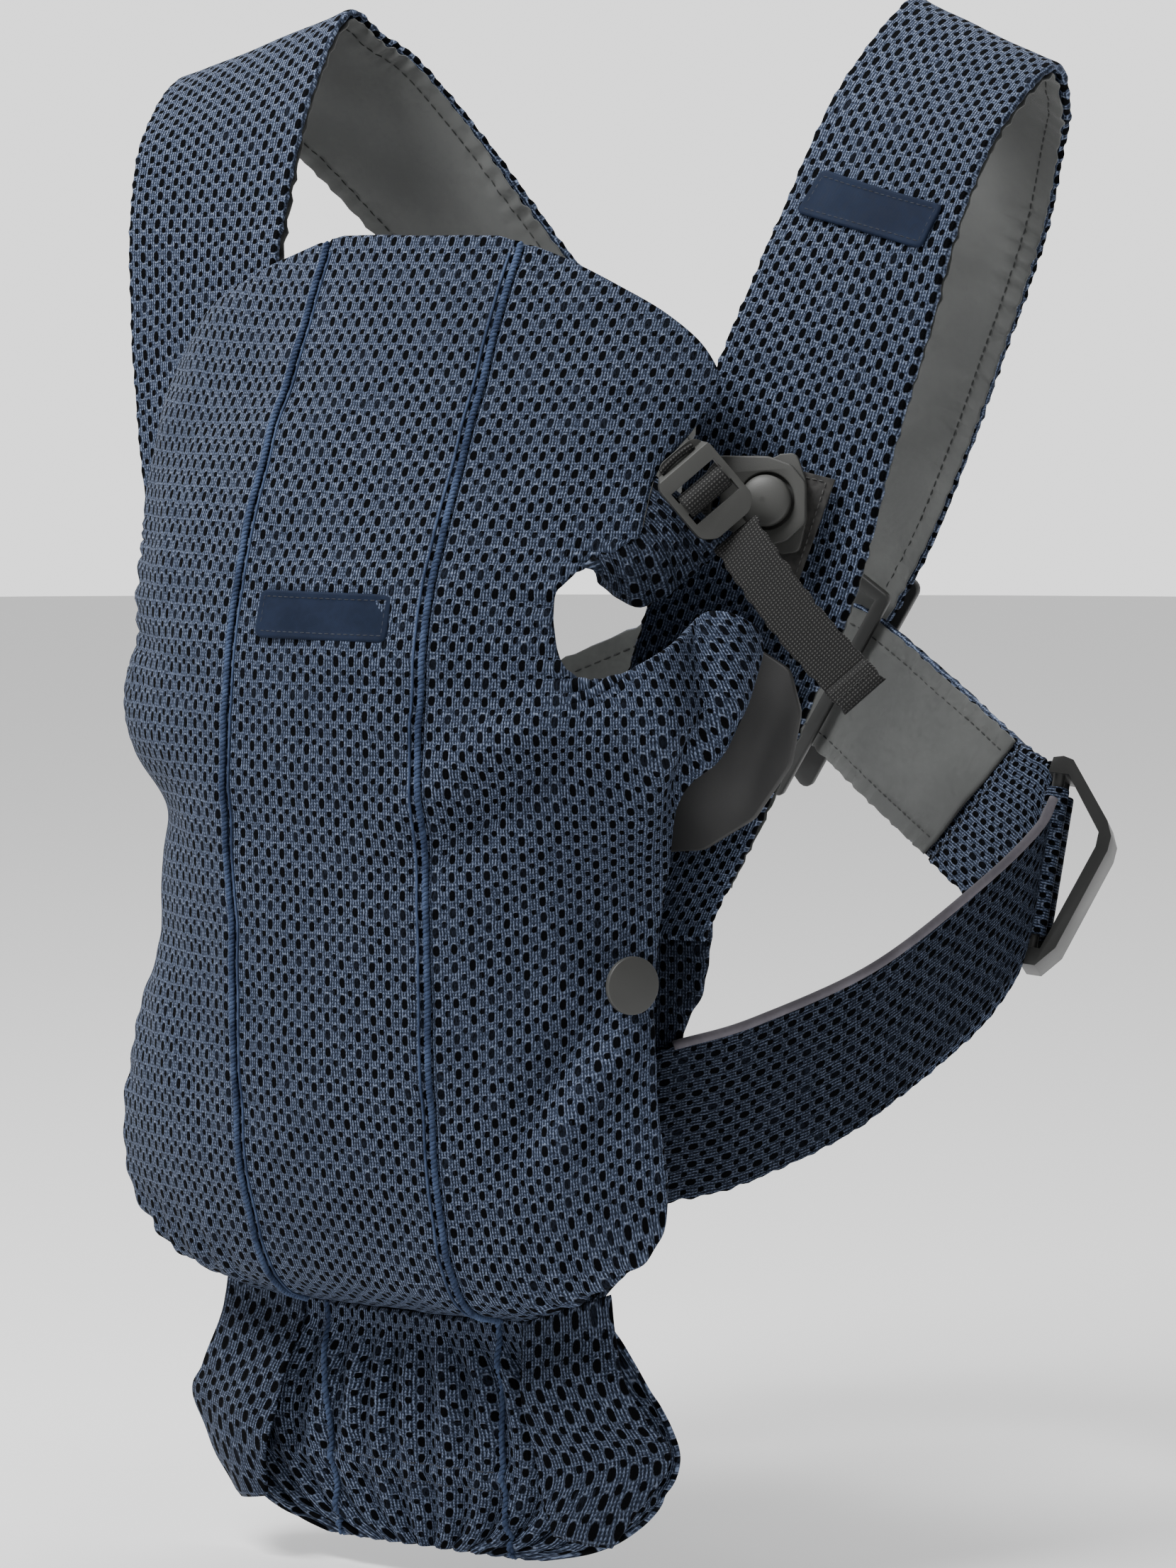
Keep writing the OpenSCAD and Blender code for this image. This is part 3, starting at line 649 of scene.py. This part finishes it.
def pouch_relief():
    """Folds, creases and gathers of the pouch: mm out of its smooth face."""
    angle = rows[:, 4][:, None] * share[None, :]
    edge_run = along(front[:, -1])[:, None]
    off_piping = np.abs(x) - PIPING_X
    out = 1.3 * ripple(front, 85, 3) + 0.4 * ripple(front, 24, 4)
    out = out - 1.25 * np.exp(-(off_piping / 2.6) ** 2)
    out = out + 0.5 * np.exp(-(off_piping / 9) ** 2)
    # gathers along the arm holes, along the lower edges and over the seat seam
    arm_hole = step(z, -300, -255) * step(z, -180, -205)
    calm = 1 - step(angle, 50, 58) * step(height, -330, -300)
    pleat = np.cos(TAU * edge_run / 10.5 + 1.3 * ripple(front, 40, 5))
    out = out + arm_hole * calm * 1.1 * np.exp(-edge_distance / 15) * pleat
    pleat = np.cos(TAU * edge_run / 15 + ripple(front, 40, 6))
    out = out + step(z, -310, -360) * 0.6 * np.exp(-edge_distance / 13) * pleat
    pleat = np.cos(TAU * pouch_u / 15 + 0.8 * ripple(front, 50, 7))
    out = out + step(z, -440, -486) * (0.2 + 0.9 * step(np.abs(x), 55, 75)) * pleat
    # folds of the left wing: a roll along its top, a deep crease, and the lobe beside the guard
    wing = step(height, -322, -285) * step(z, -244, -256)
    roll, deep_crease, lobe = bump(angle, 58.5, 4.5), bump(angle, 66, 3.4), bump(angle, 74, 4.5)
    out = out + wing * (3.6 * roll - 5.5 * deep_crease + 3.4 * lobe)
    # diagonal folds that run down from the arm hole
    run_down = (x - 90) * 0.80 + (height + 262) * 0.60
    across = -(x - 90) * 0.60 + (height + 262) * 0.80
    for rise, at, end in ((-4, -14, -105), (2.8, 6, -95)):
        out = out + rise * bump(across, at, 9) * step(run_down, 20, -6) * step(run_down, end, -40)
    # hollows and a swell across the right side
    side_right = step(x, -70, -110)
    hollows = bump(height, -306, 11) + 0.6 * bump(height, -352, 15) + 0.8 * bump(height, -236, 9)
    out = out - 3 * side_right * hollows
    out = out + 2 * side_right * bump(height, -270, 12)
    out = out * (1 - 0.5 * step(z, -486, -492))
    # a fold that runs from the stud down and inwards
    run_down = (x - 110) * 0.42 + (height + 372) * 0.91
    across = (x - 110) * 0.91 - (height + 372) * 0.42
    out = out + 4.2 * bump(across, 4, 6.5) * step(run_down, 10, -12) * step(run_down, -75, -40)
    return out - 3.6 * bump(across, -8, 8) * step(run_down, 10, -12) * step(run_down, -80, -40)


def knit_rows():
    """Where the knit's rows lie on the pouch: they rise on the left, where the cloth is drawn up."""
    order = np.argsort(rows[:, 0])
    level = np.interp(height, rows[order, 0], down[order])
    drawn = np.clip(pouch_u - PIPING_X, 0, None)
    where = step(height, -285, -335) * step(height, -482, -435)
    return level + (0.10 * drawn + 0.0012 * drawn ** 2) * where


surface = front - inward * pouch_relief()[..., None]
half = PANEL_T / 2 * rounded(np.minimum(edge_distance, from_ends(down)), 2.2)
pouch_uv = np.stack([pouch_u, knit_rows()], -1)
pouch = slab("pouch_cloth", surface + inward * PANEL_T / 2, half, pouch_uv, panel_mesh)
fit(pouch, PANEL, "front_panel", "head_support", span=FOLD)


def pouch_line(at_x, lift, z_range):
    """Line on the face of the pouch at one distance from its middle, row by row."""
    out = []
    for i, r in enumerate(rows):
        if not z_range[0] <= r[0] <= z_range[1] or abs(at_x) > 0.97 * abs(x[i]).max():
            continue
        out.append([np.interp(at_x, x[i], surface[i, :, k]) for k in range(3)]
                + [np.interp(at_x, x[i], inward[i, :, k]) for k in range(3)])
    out = np.array(out)
    return out[:, :3] - lift * unit(out[:, 3:])


lines = [pouch_line(sign * PIPING_X, 1.15, (-492, -80)) for sign in (1, -1)]
pipes = twisted("pouch_piping", lines, 1.35, 3.4, cord_cloth)
fit(pipes, PANEL, "panel_piping", "head_piping", span=FOLD)
lines = [resample(pouch_line(sign * (PIPING_X - 3.4), 0.3, (-490, -84)), 2.5) for sign in (1, -1)]
pouch_seams = mesh_object("pouch_seams", *gather([tube_parts(line, 0.5, 6) for line in lines]), cord_cloth)
fit(pouch_seams, PANEL, span=FOLD)


def arm_hole_fold():
    """Folded corner of the upper flap, behind the ladder lock."""
    rim = front[:, -1][(rows[:, 0] < -168) & (rows[:, 0] > -203)][::-1]
    top = resample(rim + np.array([-1.5, 3, 1.5]), 1.2)
    low = resample(smooth([[98.5, -166, -203], [101, -157, -211], [107, -149, -216], [114, -142, -213],
            [122, -133, -204], [132, -123, -192]], 10), 1)
    pick = np.linspace(0, len(low) - 1, len(top))
    low = np.stack([np.interp(pick, np.arange(len(low)), low[:, i]) for i in range(3)], 1)
    k = columns(20, 1.2, 1.4)
    q = (k[None, :] + 1) / 2
    g = between(top, low, q)
    run = along(top)
    swell = 5.5 * np.sin(np.pi * q) + 0.9 * np.cos(TAU * run / 9)[:, None] * (0.3 + q)
    g = g + grid_normals(g) * (-np.sign(grid_normals(g)[20, 10, 1]) * swell)[..., None]
    wide = np.linalg.norm(low - top, axis=1)
    half = rounded(to_edge(k, wide / 2, run), 1.2)
    # the fold is in the shaded copy of the mesh: painted shade on its underside
    return slab("arm_hole_fold", g, half, grid_uv(run[:, None], (q - 0.5) * wide[:, None]), shaded_mesh)


corner_fold = fit(arm_hole_fold(), "front_panel")
declare(corner_fold)


# ---- blank labels
CHEST_LABEL_Z = -221


def label_piece(name, point, body, node):
    """Blank label: point gives the cloth's face at a place across and down, and its outward side."""
    w, h, corner_r = 31, 9, 3
    a = columns(w, 1.2, 2) * w
    b = columns(h, 1.2, 1.2) * h
    da, db = w - np.abs(a)[None, :], h - np.abs(b)[:, None]
    in_a, in_b = np.clip(corner_r - da, 0, corner_r), np.clip(corner_r - db, 0, corner_r)
    corner = np.hypot(in_a, in_b)
    near = np.minimum(np.minimum(da, db), np.clip(corner_r - corner, 0, 9))
    border = 0.42 * step(near, 2.1, 1.2)
    thick = (0.42 + border) * rounded(near, 1)
    # the corners are drawn in so that the outline is rounded
    pull = np.where(corner > corner_r, (corner - corner_r) / np.maximum(corner, 1e-6), 0)
    ax = a[None, :] - np.sign(a)[None, :] * in_a * pull
    bx = b[:, None] - np.sign(b)[:, None] * in_b * pull
    face = np.array([[point(ax[j, i], bx[j, i]) for i in range(len(a))] for j in range(len(b))])
    face, out = face[..., :3], unit(face[..., 3:])
    piece = slab(name, face + out * 0.95, thick, np.stack([ax, bx], -1), label_cloth)
    fit(piece, body, node)
    corners = [(-1, -1), (1, -1), (1, 1), (-1, 1)]
    loop = []
    for (a0, b0), (a1, b1) in zip(corners, corners[1:] + corners[:1]):
        loop += [((a0 + (a1 - a0) * k) * (w - 2.5), (b0 + (b1 - b0) * k) * (h - 2.5))
                 for k in np.linspace(0, 1, 40)[:-1]]
    loop.append(loop[0])
    line = np.array([point(i, j) for i, j in loop])
    line = line[:, :3] + unit(line[:, 3:]) * 1.42
    sewn = stitches(name + "_stitches", [line], navy_thread, 2, 0.9, 0.2)
    sewn.parent = piece
    sewn["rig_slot"] = "label_cloth"


def on_pouch(i, j):
    """Face and outward side of the pouch, i across and j down from the chest label's middle."""
    zz = CHEST_LABEL_Z + j
    k = int(np.argmin(np.abs(rows[:, 0] - zz)))
    k = min(max(k, 1), len(rows) - 2)
    k0, k1 = (k, k - 1) if rows[k, 0] < zz else (k + 1, k)
    f = (zz - rows[k0, 0]) / (rows[k1, 0] - rows[k0, 0])
    p = [(1 - f) * np.interp(i, x[k0], front[k0, :, c]) + f * np.interp(i, x[k1], front[k1, :, c])
         for c in range(3)]
    q = [-np.interp(i, x[k0], inward[k0, :, c]) for c in range(3)]
    return np.array(p + q) + np.array([0, -0.6, 0, 0, 0, 0])


label_piece("chest_label_cloth", on_pouch, "front_panel", "chest_label")


# ---- straps
def ribbon_grid(route, n, side, push=0):
    """A strap's middle line, its directions across and normal, half width, and length run."""
    s = smooth(route, n)
    c = s[:, :3].copy()
    if push:
        c[:, 1] += push * s[:, 7]
    t = unit(np.gradient(c, axis=0))
    w = unit(s[:, 3:6])
    normal = unit(np.cross(t, w))
    return mirrored(c, side), mirrored(w, side), mirrored(normal, side), s[:, 6] / 2, along(c)


def band(name, grid, off, half, share_w, first, last, material, inset=0, puckers=None, round_r=2):
    """Flat cloth along part of a strap: off and half place its middle and its faces."""
    c, w, n, a, s = grid
    keep = (s >= first) & (s <= last)
    c, w, n, a, s = c[keep], w[keep], n[keep], a[keep], s[keep]
    q = share_w[None, :] * (a - inset)[:, None]
    edge = (a - inset)[:, None] - np.abs(q)
    extra = np.zeros_like(q) if puckers is None else puckers(q, s[:, None] * np.ones_like(q), edge)
    wave = 0.35 * np.sin(s * TAU / 7.3) + 0.25 * np.sin(s * TAU / 11.9 + 1)
    q = q + np.sign(q) * wave[:, None] * step(edge, 6, 0)
    mid = c[:, None] + w[:, None] * q[..., None] + n[:, None] * (off + extra)[..., None]
    thick = half * rounded(np.minimum(edge, from_ends(s - s[0])), round_r)
    return slab(name, mid, thick, grid_uv(q, s[:, None]), material)


def unevenness(depth, wave, seed):
    return lambda q, s, edge: depth * ripple(np.stack([q, s], -1), wave, seed)


def strap_puckers(seed, depth):
    """Folds, crimps along the edges and the line of the stitches."""
    def f(q, s, edge):
        p = np.stack([q, s], -1)
        fold = 0.6 * depth * ripple(p * np.array([1, 0.55]), 46, seed)
        crimp = depth * step(edge, 18, 1) * np.sin(TAU * s / 10.5 + 1.6 * ripple(p, 60, seed + 1))
        line = -0.5 * np.exp(-((edge - 7.5) / 1.5) ** 2)
        return np.maximum(fold + crimp * 0.5 + line, -0.35)
    return f


for side, sign in SIDES:
    grid = ribbon_grid(STRAP, 16, sign, sign * GAP)
    c, w, n, a, s = grid
    total = s[-1]
    cols = columns(39, 2, 2.6)
    uneven = unevenness(0.25, 34, 8)
    face = band(f"strap_{side}_face", grid, -0.7, 1.8, cols, 0, total, strap_mesh,
            puckers=lambda q, t, e: uneven(q, t, e) - 0.35 * step(e, 9, 2))
    fit(face, "harness", f"shoulder_strap_{side}")
    puckers = strap_puckers(20 + sign, 1.3)
    cover = band(f"strap_{side}_lining", grid, 2.1, 0.35, cols, 24, total - 46, lining, inset=0.7,
            puckers=puckers, round_r=0.6)
    fit(cover, "harness")
    fold = band(f"strap_{side}_foldback", grid, 2, 0.75, cols, total - 47, total, strap_mesh, inset=0.3,
            puckers=strap_puckers(30 + sign, 0.2), round_r=1.2)
    fit(fold, "harness")
    lines = []
    sel = (s > 28) & (s < total - 50)
    for e in (-1, 1):
        q = e * (a[sel] - 0.7 - 7.5)
        up = puckers(q, s[sel], np.full(sel.sum(), 7.5))
        lines.append(c[sel] + w[sel] * q[:, None] + n[sel] * (2.5 + up)[:, None])
    sewn = stitches(f"strap_{side}_stitches", lines, thread, 3.2, 1.3, 0.34)
    fit(sewn, "harness")
    i = int(np.argmin(abs(s - (total - 43))))
    line = np.array([c[i] + w[i] * (k * a[i] * 0.97) + n[i] * 2.95 for k in np.linspace(-1, 1, 30)])
    fit(stitches(f"strap_{side}_end_seam", [line], navy_thread, 2.8, 1.2, 0.3), "harness")
    declare(cover)
    declare(fold)

LABEL_ON_STRAP, LABEL_TURN = [160, -68, -69], math.radians(-12)
left_strap = ribbon_grid(STRAP, 16, 1, GAP)
label_row = int(np.argmin(np.linalg.norm(left_strap[0] - np.array(LABEL_ON_STRAP), axis=1)))


def on_strap(i, j):
    """Like on_pouch, for the label on the left strap."""
    run = left_strap[4]
    across = i * math.cos(LABEL_TURN) - j * math.sin(LABEL_TURN)
    t = run[label_row] + i * math.sin(LABEL_TURN) + j * math.cos(LABEL_TURN)
    p, w, n = [np.array([np.interp(t, run, q[:, k]) for k in range(3)]) for q in left_strap[:3]]
    return np.concatenate([p + w * across - n * 2.45, -n])


label_piece("strap_label_cloth", on_strap, "harness", "strap_label")

# ---- waist straps: two layers with edging
for side, sign in SIDES:
    grid = ribbon_grid(WAIST, 22, sign)
    c, w, n, a, s = grid
    total = s[-1]
    outward = -1 if (n[len(n) // 2, 0] * sign) > 0 else 1
    span = ((0.170 * sign, -0.009, -0.361), (0.1823 * sign, 0.019, -0.329))
    bodies = ("harness", f"side_slider_{side}")
    cols = columns(30, 1.2, 2.4)
    raised = 5 * step(s, total - 120, total - 25)
    # the inner layer is in the shaded copy of the mesh: painted shade
    inner = band(f"waist_{side}_inner", (c + w * raised[:, None], w, n, a - raised / 2, s), outward * -1,
            0.85, cols, 0, total, shaded_mesh, puckers=unevenness(0.25, 30, 9), round_r=1)
    fit(inner, bodies, f"waist_strap_{side}", span=span)
    uneven = unevenness(0.3, 38, 10)
    outer = band(f"waist_{side}_outer", grid, outward * 1.1, 0.9, cols, 0, total, strap_mesh, inset=0.8,
            puckers=lambda q, t, e: outward * (0.5 * step(t, total - 60, total) + uneven(q, t, e)),
            round_r=1.1)
    fit(outer, bodies, span=span)
    for layer, lift, off in ((inner, raised / 2 + 0.4, -1.5), (outer, -0.6 + 0 * s, 1.6)):
        line = c + w * (a + lift)[:, None] + n * (outward * off)
        edging = tube(layer.name + "_edging", resample(line[s > 12], 2.5), 1.85, edge_cloth, 12)
        fit(edging, bodies, span=span)
    declare(inner)
    declare(outer)


# ---- loops round the slider bars
LOOP_R = 4.15


def cloth_on(name, where, sign, points, across, half, round_r, material):
    """Cloth whose grid of points is given in the frame of a piece of hardware."""
    p = mirrored(to_row(where, np.stack(np.broadcast_arrays(*points), -1)), sign)
    run = along(p[:, len(across) // 2])
    edge = np.minimum(from_ends(run), (across[-1] - np.abs(across))[None, :])
    return slab(name, p, half * rounded(edge, round_r), grid_uv(across[None, :], run[:, None]), material)


for side, sign in SIDES:
    for name, bar, body in ((f"strap_loop_{side}", 9, "harness"),
            (f"waist_loop_{side}", -9, f"side_slider_{side}")):
        round_bar = np.radians(np.linspace(-166, 166, 45)) + math.copysign(np.pi / 2, bar)
        px, py = LOOP_R * np.cos(round_bar)[:, None], bar + LOOP_R * np.sin(round_bar)[:, None]
        hh = columns(29.5, 1, 2.4) * 29.5
        piece = cloth_on(name + "_cloth", SLIDER, sign, (px, py, hh[None, :]), hh, 0.75, 0.9, strap_mesh)
        fit(piece, body, name)
        declare(piece)


# ---- seat skirt, seam and belly
def flat_grid(table, cols):
    """A sheet's points, their length run down it, and its rows."""
    r = smooth(table, 12)
    q = cols[None, :]
    p = np.stack([r[:, 2][:, None] * q, r[:, 1][:, None] + r[:, 3][:, None] * q ** 2,
            r[:, 0][:, None] * np.ones_like(q)], -1)
    return p, along(r[:, [0, 1]]), r


cols = columns(110, 1.6, 2.2)
p, v, r = flat_grid(SKIRT, cols)
p[..., 2] += 15 * np.abs(p[..., 0] / 84) ** 4 * step(v, 26, 0)[:, None]
fan = p[..., 0] / (r[:, 2] / 115)[:, None]
deep = 0.25 + 0.75 * step(v, 4, 22)[:, None] + 0.4 * (step(v, 56, 26) * step(v, 8, 22))[:, None]
crease = np.cos(TAU * fan / 17 + 0.9 * ripple(p, 60, 11))
crease = np.sign(crease) * np.abs(crease) ** 0.8
shift = -2 * deep * crease * (1 - 0.75 * bump(v, 62, 4)[:, None]) - 1.2 * bump(v, 62, 2.4)[:, None]
shift = shift + 1.2 * step(v, 64, 78)[:, None]
mid = p + np.array([0, 1, 0]) * (shift - 0.6)[..., None]
skirt = slab("skirt_cloth", mid, 1.5 * rounded(to_edge(cols, r[:, 2], v), 1.6),
        grid_uv(fan * 0.95, v[:, None]), panel_mesh)
fit(skirt, "harness", "seat_skirt")


def on_skirt(i, at_x, out):
    """Point of the skirt's row i that stands out from its face."""
    return [at_x, np.interp(at_x, mid[i, :, 0], mid[i, :, 1]) - out, r[i, 0]]


def skirt_line(end):
    """Line of a piping cord down the skirt, which sinks into the seam at its top."""
    return np.array([on_skirt(i, end * min(41.4, 0.9 * r[i, 2]), 1.5 + 0.7 * step(v[i], 3, 18))
            for i in range(len(r))])


pipes = twisted("skirt_piping_cord", [skirt_line(end) for end in (1, -1)], 1.3, 4.6, cord_cloth)
fit(pipes, "harness", "skirt_piping")
sewn_rows = [int(np.argmin(np.abs(r[:, 0] - zz))) for zz in (-553.5, -560.5)]
lines = [np.array([on_skirt(i, q, 1.62) for q in np.linspace(-41, 41, 60)]) for i in sewn_rows]
skirt_sewn = stitches("skirt_stitches", lines, navy_thread, 2.8, 1.3, 0.3)
fit(skirt_sewn, "harness")

# side wings of the skirt, folded forwards over its face
for side, sign in SIDES:
    inner_edge = smooth([[52, -146.2, -493], [53, -148, -503], [56, -152.5, -518], [60, -154, -532],
            [66, -154, -552], [69, -151, -574]], 12)
    outer_edge = smooth([[92, -144, -479], [94, -144, -495], [98, -144.5, -510], [107, -142, -526],
            [115, -137.5, -542], [90, -141, -578]], 12)
    k = columns(24, 1.2, 2)
    q = (k[None, :] + 1) / 2
    g = between(inner_edge, outer_edge, q)
    run = along(inner_edge)
    g[..., 1] -= (2.6 * np.sin(np.pi * q) + 0.8 * ripple(g, 30, 12)) * step(run, 8, 26)[:, None]
    wide = np.linalg.norm(outer_edge - inner_edge, axis=1)
    wing = slab(f"skirt_wing_{side}", mirrored(g, sign), rounded(to_edge(k, wide / 2, run), 1.2),
            grid_uv((q - 0.5) * wide[:, None], run[:, None]), open_mesh)
    fit(wing, "harness")
    declare(wing)
declare(skirt)

bead = np.linspace(-72, 72, 140)
seam_path = np.stack([bead, np.full_like(bead, -142), np.full_like(bead, -495.6)], 1)
seam_r = 3.3 + 0.25 * np.sin(bead * 2.1) + 0.1 * np.sin(bead * 0.9)
# the binding is in the shaded copy of the mesh: painted shade
fit(tube("seat_seam_binding", seam_path, seam_r, shaded_mesh, 14), "harness", "seat_seam")

cols = columns(100, 2, 3)
p, v, r = flat_grid(BELLY, cols)
edge = to_edge(cols, r[:, 2], v)
puff = 0.7 * ripple(p, 60, 13) + 0.5 * step(edge, 10, 2) * np.cos(TAU * v / 11)[:, None]
# the belly panel is in the shaded copy of the mesh: painted shade
belly = slab("belly_cloth", p + np.array([0, 1, 0]) * puff[..., None], 1.9 * rounded(edge, 2),
        grid_uv(p[..., 0], v[:, None]), shaded_mesh)
fit(belly, "harness", "belly_panel")
declare(belly)
declare(pouch)


# ---- webbing
for side, sign in SIDES:
    tail_route, link_route, lock = (TAIL, LINK, LOCK) if sign > 0 else (RIGHT_TAIL, RIGHT_LINK, RIGHT_LOCK)
    on_lock = f"ladder_lock_{side}"
    grid = ribbon_grid(tail_route, 12, sign)
    c, w, n, a, s = grid
    total = s[-1]
    cols = columns(10, 0.5, 1.2)
    tail = band(f"webbing_{side}_tail", grid, 0, 0.75, cols, 0, total, webbing, round_r=0.6)
    fit(tail, on_lock, f"webbing_tail_{side}")
    outside = -1 if n[0, 1] > 0 else 1
    end = band(f"webbing_{side}_tail_end", grid, outside * 1.4, 0.62, cols, total - 14, total + 1, webbing,
            round_r=0.6)
    fit(end, on_lock)
    i = int(np.argmin(abs(s - (total - 6.5))))
    line = np.array([c[i] + w[i] * k * 9 + n[i] * outside * 2.1 for k in np.linspace(-1, 1, 20)])
    fit(stitches(f"webbing_{side}_tail_stitches", [line], thread, 2, 0.8, 0.24), on_lock)
    grid = ribbon_grid(link_route, 10, sign)
    link = band(f"webbing_{side}_link", grid, 0, 0.75, columns(7, 0.5, 1.2), 0, grid[4][-1], webbing,
            round_r=0.6)
    fit(link, "front_panel", f"webbing_link_{side}")
    round_bar = np.linspace(-1.9, 1.9, 24)[:, None]
    hh = columns(10, 0.4, 1.2) * 9.9
    over = cloth_on(f"webbing_{side}_over_bar", lock, sign,
            (1.5 + 4.1 * np.sin(round_bar), hh[None, :], 1.8 + 4.4 * np.cos(round_bar)),
            hh, 0.75, 0.5, webbing)
    fit(over, on_lock)
    # strip of webbing sewn into the recess of the lock's tab
    hh = columns(8, 0.4, 1) * 8
    px = np.linspace(-16.4, -13.6, 6)[:, None] + 0.012 * hh[None, :] ** 2
    pad = cloth_on(f"lock_{side}_tab_webbing", lock, sign, (px, hh[None, :], 3.4 - 0.40 * (px + 16.4)),
            hh, 0.6, 0.5, webbing)
    fit(pad, on_lock)
    # the right link, 7 mm long, and the strip in the tab are under a sheet's least length
    for o, how in ((tail, "hung"), (end, "folded"), (over, "folded"), (link, "stretched")):
        if o is not link or sign > 0:
            declare(o)


# ---- hardware
def soften(node, body, material, width):
    """Copy of a CAD node with eased edges, which takes its place; width is in mm."""
    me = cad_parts[node].data.copy()
    me.materials.clear()
    ob = linked(bpy.data.objects.new(node + "_eased", me))
    bm = bmesh.new()
    bm.from_mesh(me)
    bmesh.ops.remove_doubles(bm, verts=bm.verts, dist=2e-6)
    bmesh.ops.dissolve_limit(bm, angle_limit=math.radians(1.5), verts=bm.verts, edges=bm.edges)
    bm.to_mesh(me)
    bm.free()
    me.materials.append(material)
    mod = ob.modifiers.new("ease", "BEVEL")
    mod.width, mod.segments, mod.limit_method, mod.angle_limit = width * MM, 3, "ANGLE", math.radians(28)
    me.polygons.foreach_set("use_smooth", [True] * len(me.polygons))
    done = bpy.data.meshes.new_from_object(ob.evaluated_get(bpy.context.evaluated_depsgraph_get()))
    ob.modifiers.clear()
    ob.data = done
    bm = bmesh.new()
    bm.from_mesh(done)
    for ed in bm.edges:
        ed.smooth = len(ed.link_faces) == 2 and ed.calc_face_angle(0) < math.radians(30)
    bm.to_mesh(done)
    bm.free()
    fit(ob, body, node)


def recolour(node, material):
    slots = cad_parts[node].data.materials
    slots.clear()
    slots.append(material)


for side, sign in SIDES:
    for node, width in (("buckle_plate", 0.7), ("ladder_lock", 0.8), ("push_button", 0.3)):
        soften(f"{node}_{side}", f"{node}_{side}", plastic, width)
    soften(f"buckle_base_{side}", "harness", plastic, 0.35)
    soften(f"buckle_patch_{side}", "harness", felt, 0.4)
    soften(f"side_slider_{side}", f"side_slider_{side}", slider_plastic, 1)
    soften(f"side_guard_{side}", "harness", guard_plastic, 0.8)
    recolour(f"button_spring_{side}", steel)
    corners = np.array([[-18, 11], [11.5, 10], [21.5, 8], [11, -28], [-5, -28], [-18, 11]], float)
    outline = to_row(BUCKLE, resample(np.column_stack([corners, np.full(len(corners), 1.4)]), 1))
    hem = stitches(f"buckle_patch_{side}_hem", [mirrored(outline, sign)], patch_thread, 1.9, 0.9, 0.26)
    fit(hem, "harness")
soften("snap_stud", "front_panel", plastic, 0.5)
recolour("stud_washer", plastic)
soften("back_cross_plate", "harness", slider_plastic, 0.8)
soften("back_cross_frame", "harness", slider_plastic, 1)

# ---- floor, light and camera
# the background is dimmer behind the camera than behind the carrier
world = bpy.data.worlds.new("studio")
bpy.context.scene.world = world
world.use_nodes = True
sky = world.node_tree.nodes
sky["Background"].inputs[0].default_value = (1, 1, 1, 1)
towards = sky.new("ShaderNodeVectorMath")
towards.operation = "DOT_PRODUCT"
towards.inputs[1].default_value = (-0.56, 0.80, 0.21)
spread = sky.new("ShaderNodeMapRange")
for i, value in ((1, 0), (2, 0.72), (3, 0.30), (4, 1.7)):
    spread.inputs[i].default_value = value
world.node_tree.links.new(sky.new("ShaderNodeTexCoord").outputs["Generated"], towards.inputs[0])
world.node_tree.links.new(towards.outputs["Value"], spread.inputs[0])
world.node_tree.links.new(spread.outputs[0], sky["Background"].inputs[1])

n = Net("floor_paint")
floor_mat = n.finish((0.82, 0.82, 0.82), 0.8, n.bump(n.noise(30, 3), 0.0004, 0.3))
FLOOR_R, FLOOR_Z = 6500, -600
rim = np.radians(np.arange(0, 360, 3))
rim = np.stack([FLOOR_R * np.cos(rim), FLOOR_R * np.sin(rim), np.full_like(rim, FLOOR_Z)], 1)
floor = mesh_object("floor", rim, [list(range(len(rim)))], None, floor_mat, flat=True)

TARGET = Vector((0, -0.028, -0.297))


def aimed(ob, at):
    """Puts a light or the camera at a place in metres, aimed at TARGET."""
    ob.location = at
    ob.rotation_euler = (TARGET - ob.location).to_track_quat("-Z", "Y").to_euler()
    return linked(ob)


def area(name, at, size, power):
    data = bpy.data.lights.new(name, "AREA")
    data.shape, data.size, data.energy = "SQUARE", size, power
    aimed(bpy.data.objects.new(name, data), at)


area("key", (-0.5, -1.2, 1.5), 0.9, 84)
area("fill", (2.3, -1.5, 0.6), 1.8, 6)
area("top", (0.2, 0.6, 2.2), 1.2, 24)

data = bpy.data.cameras.new("camera")
data.sensor_fit, data.sensor_height, data.sensor_width, data.lens = "VERTICAL", 36, 27, 148.995
data.clip_end = 50
bpy.context.scene.camera = aimed(bpy.data.objects.new("camera", data), (1.48562, -2.14969, -0.07040))
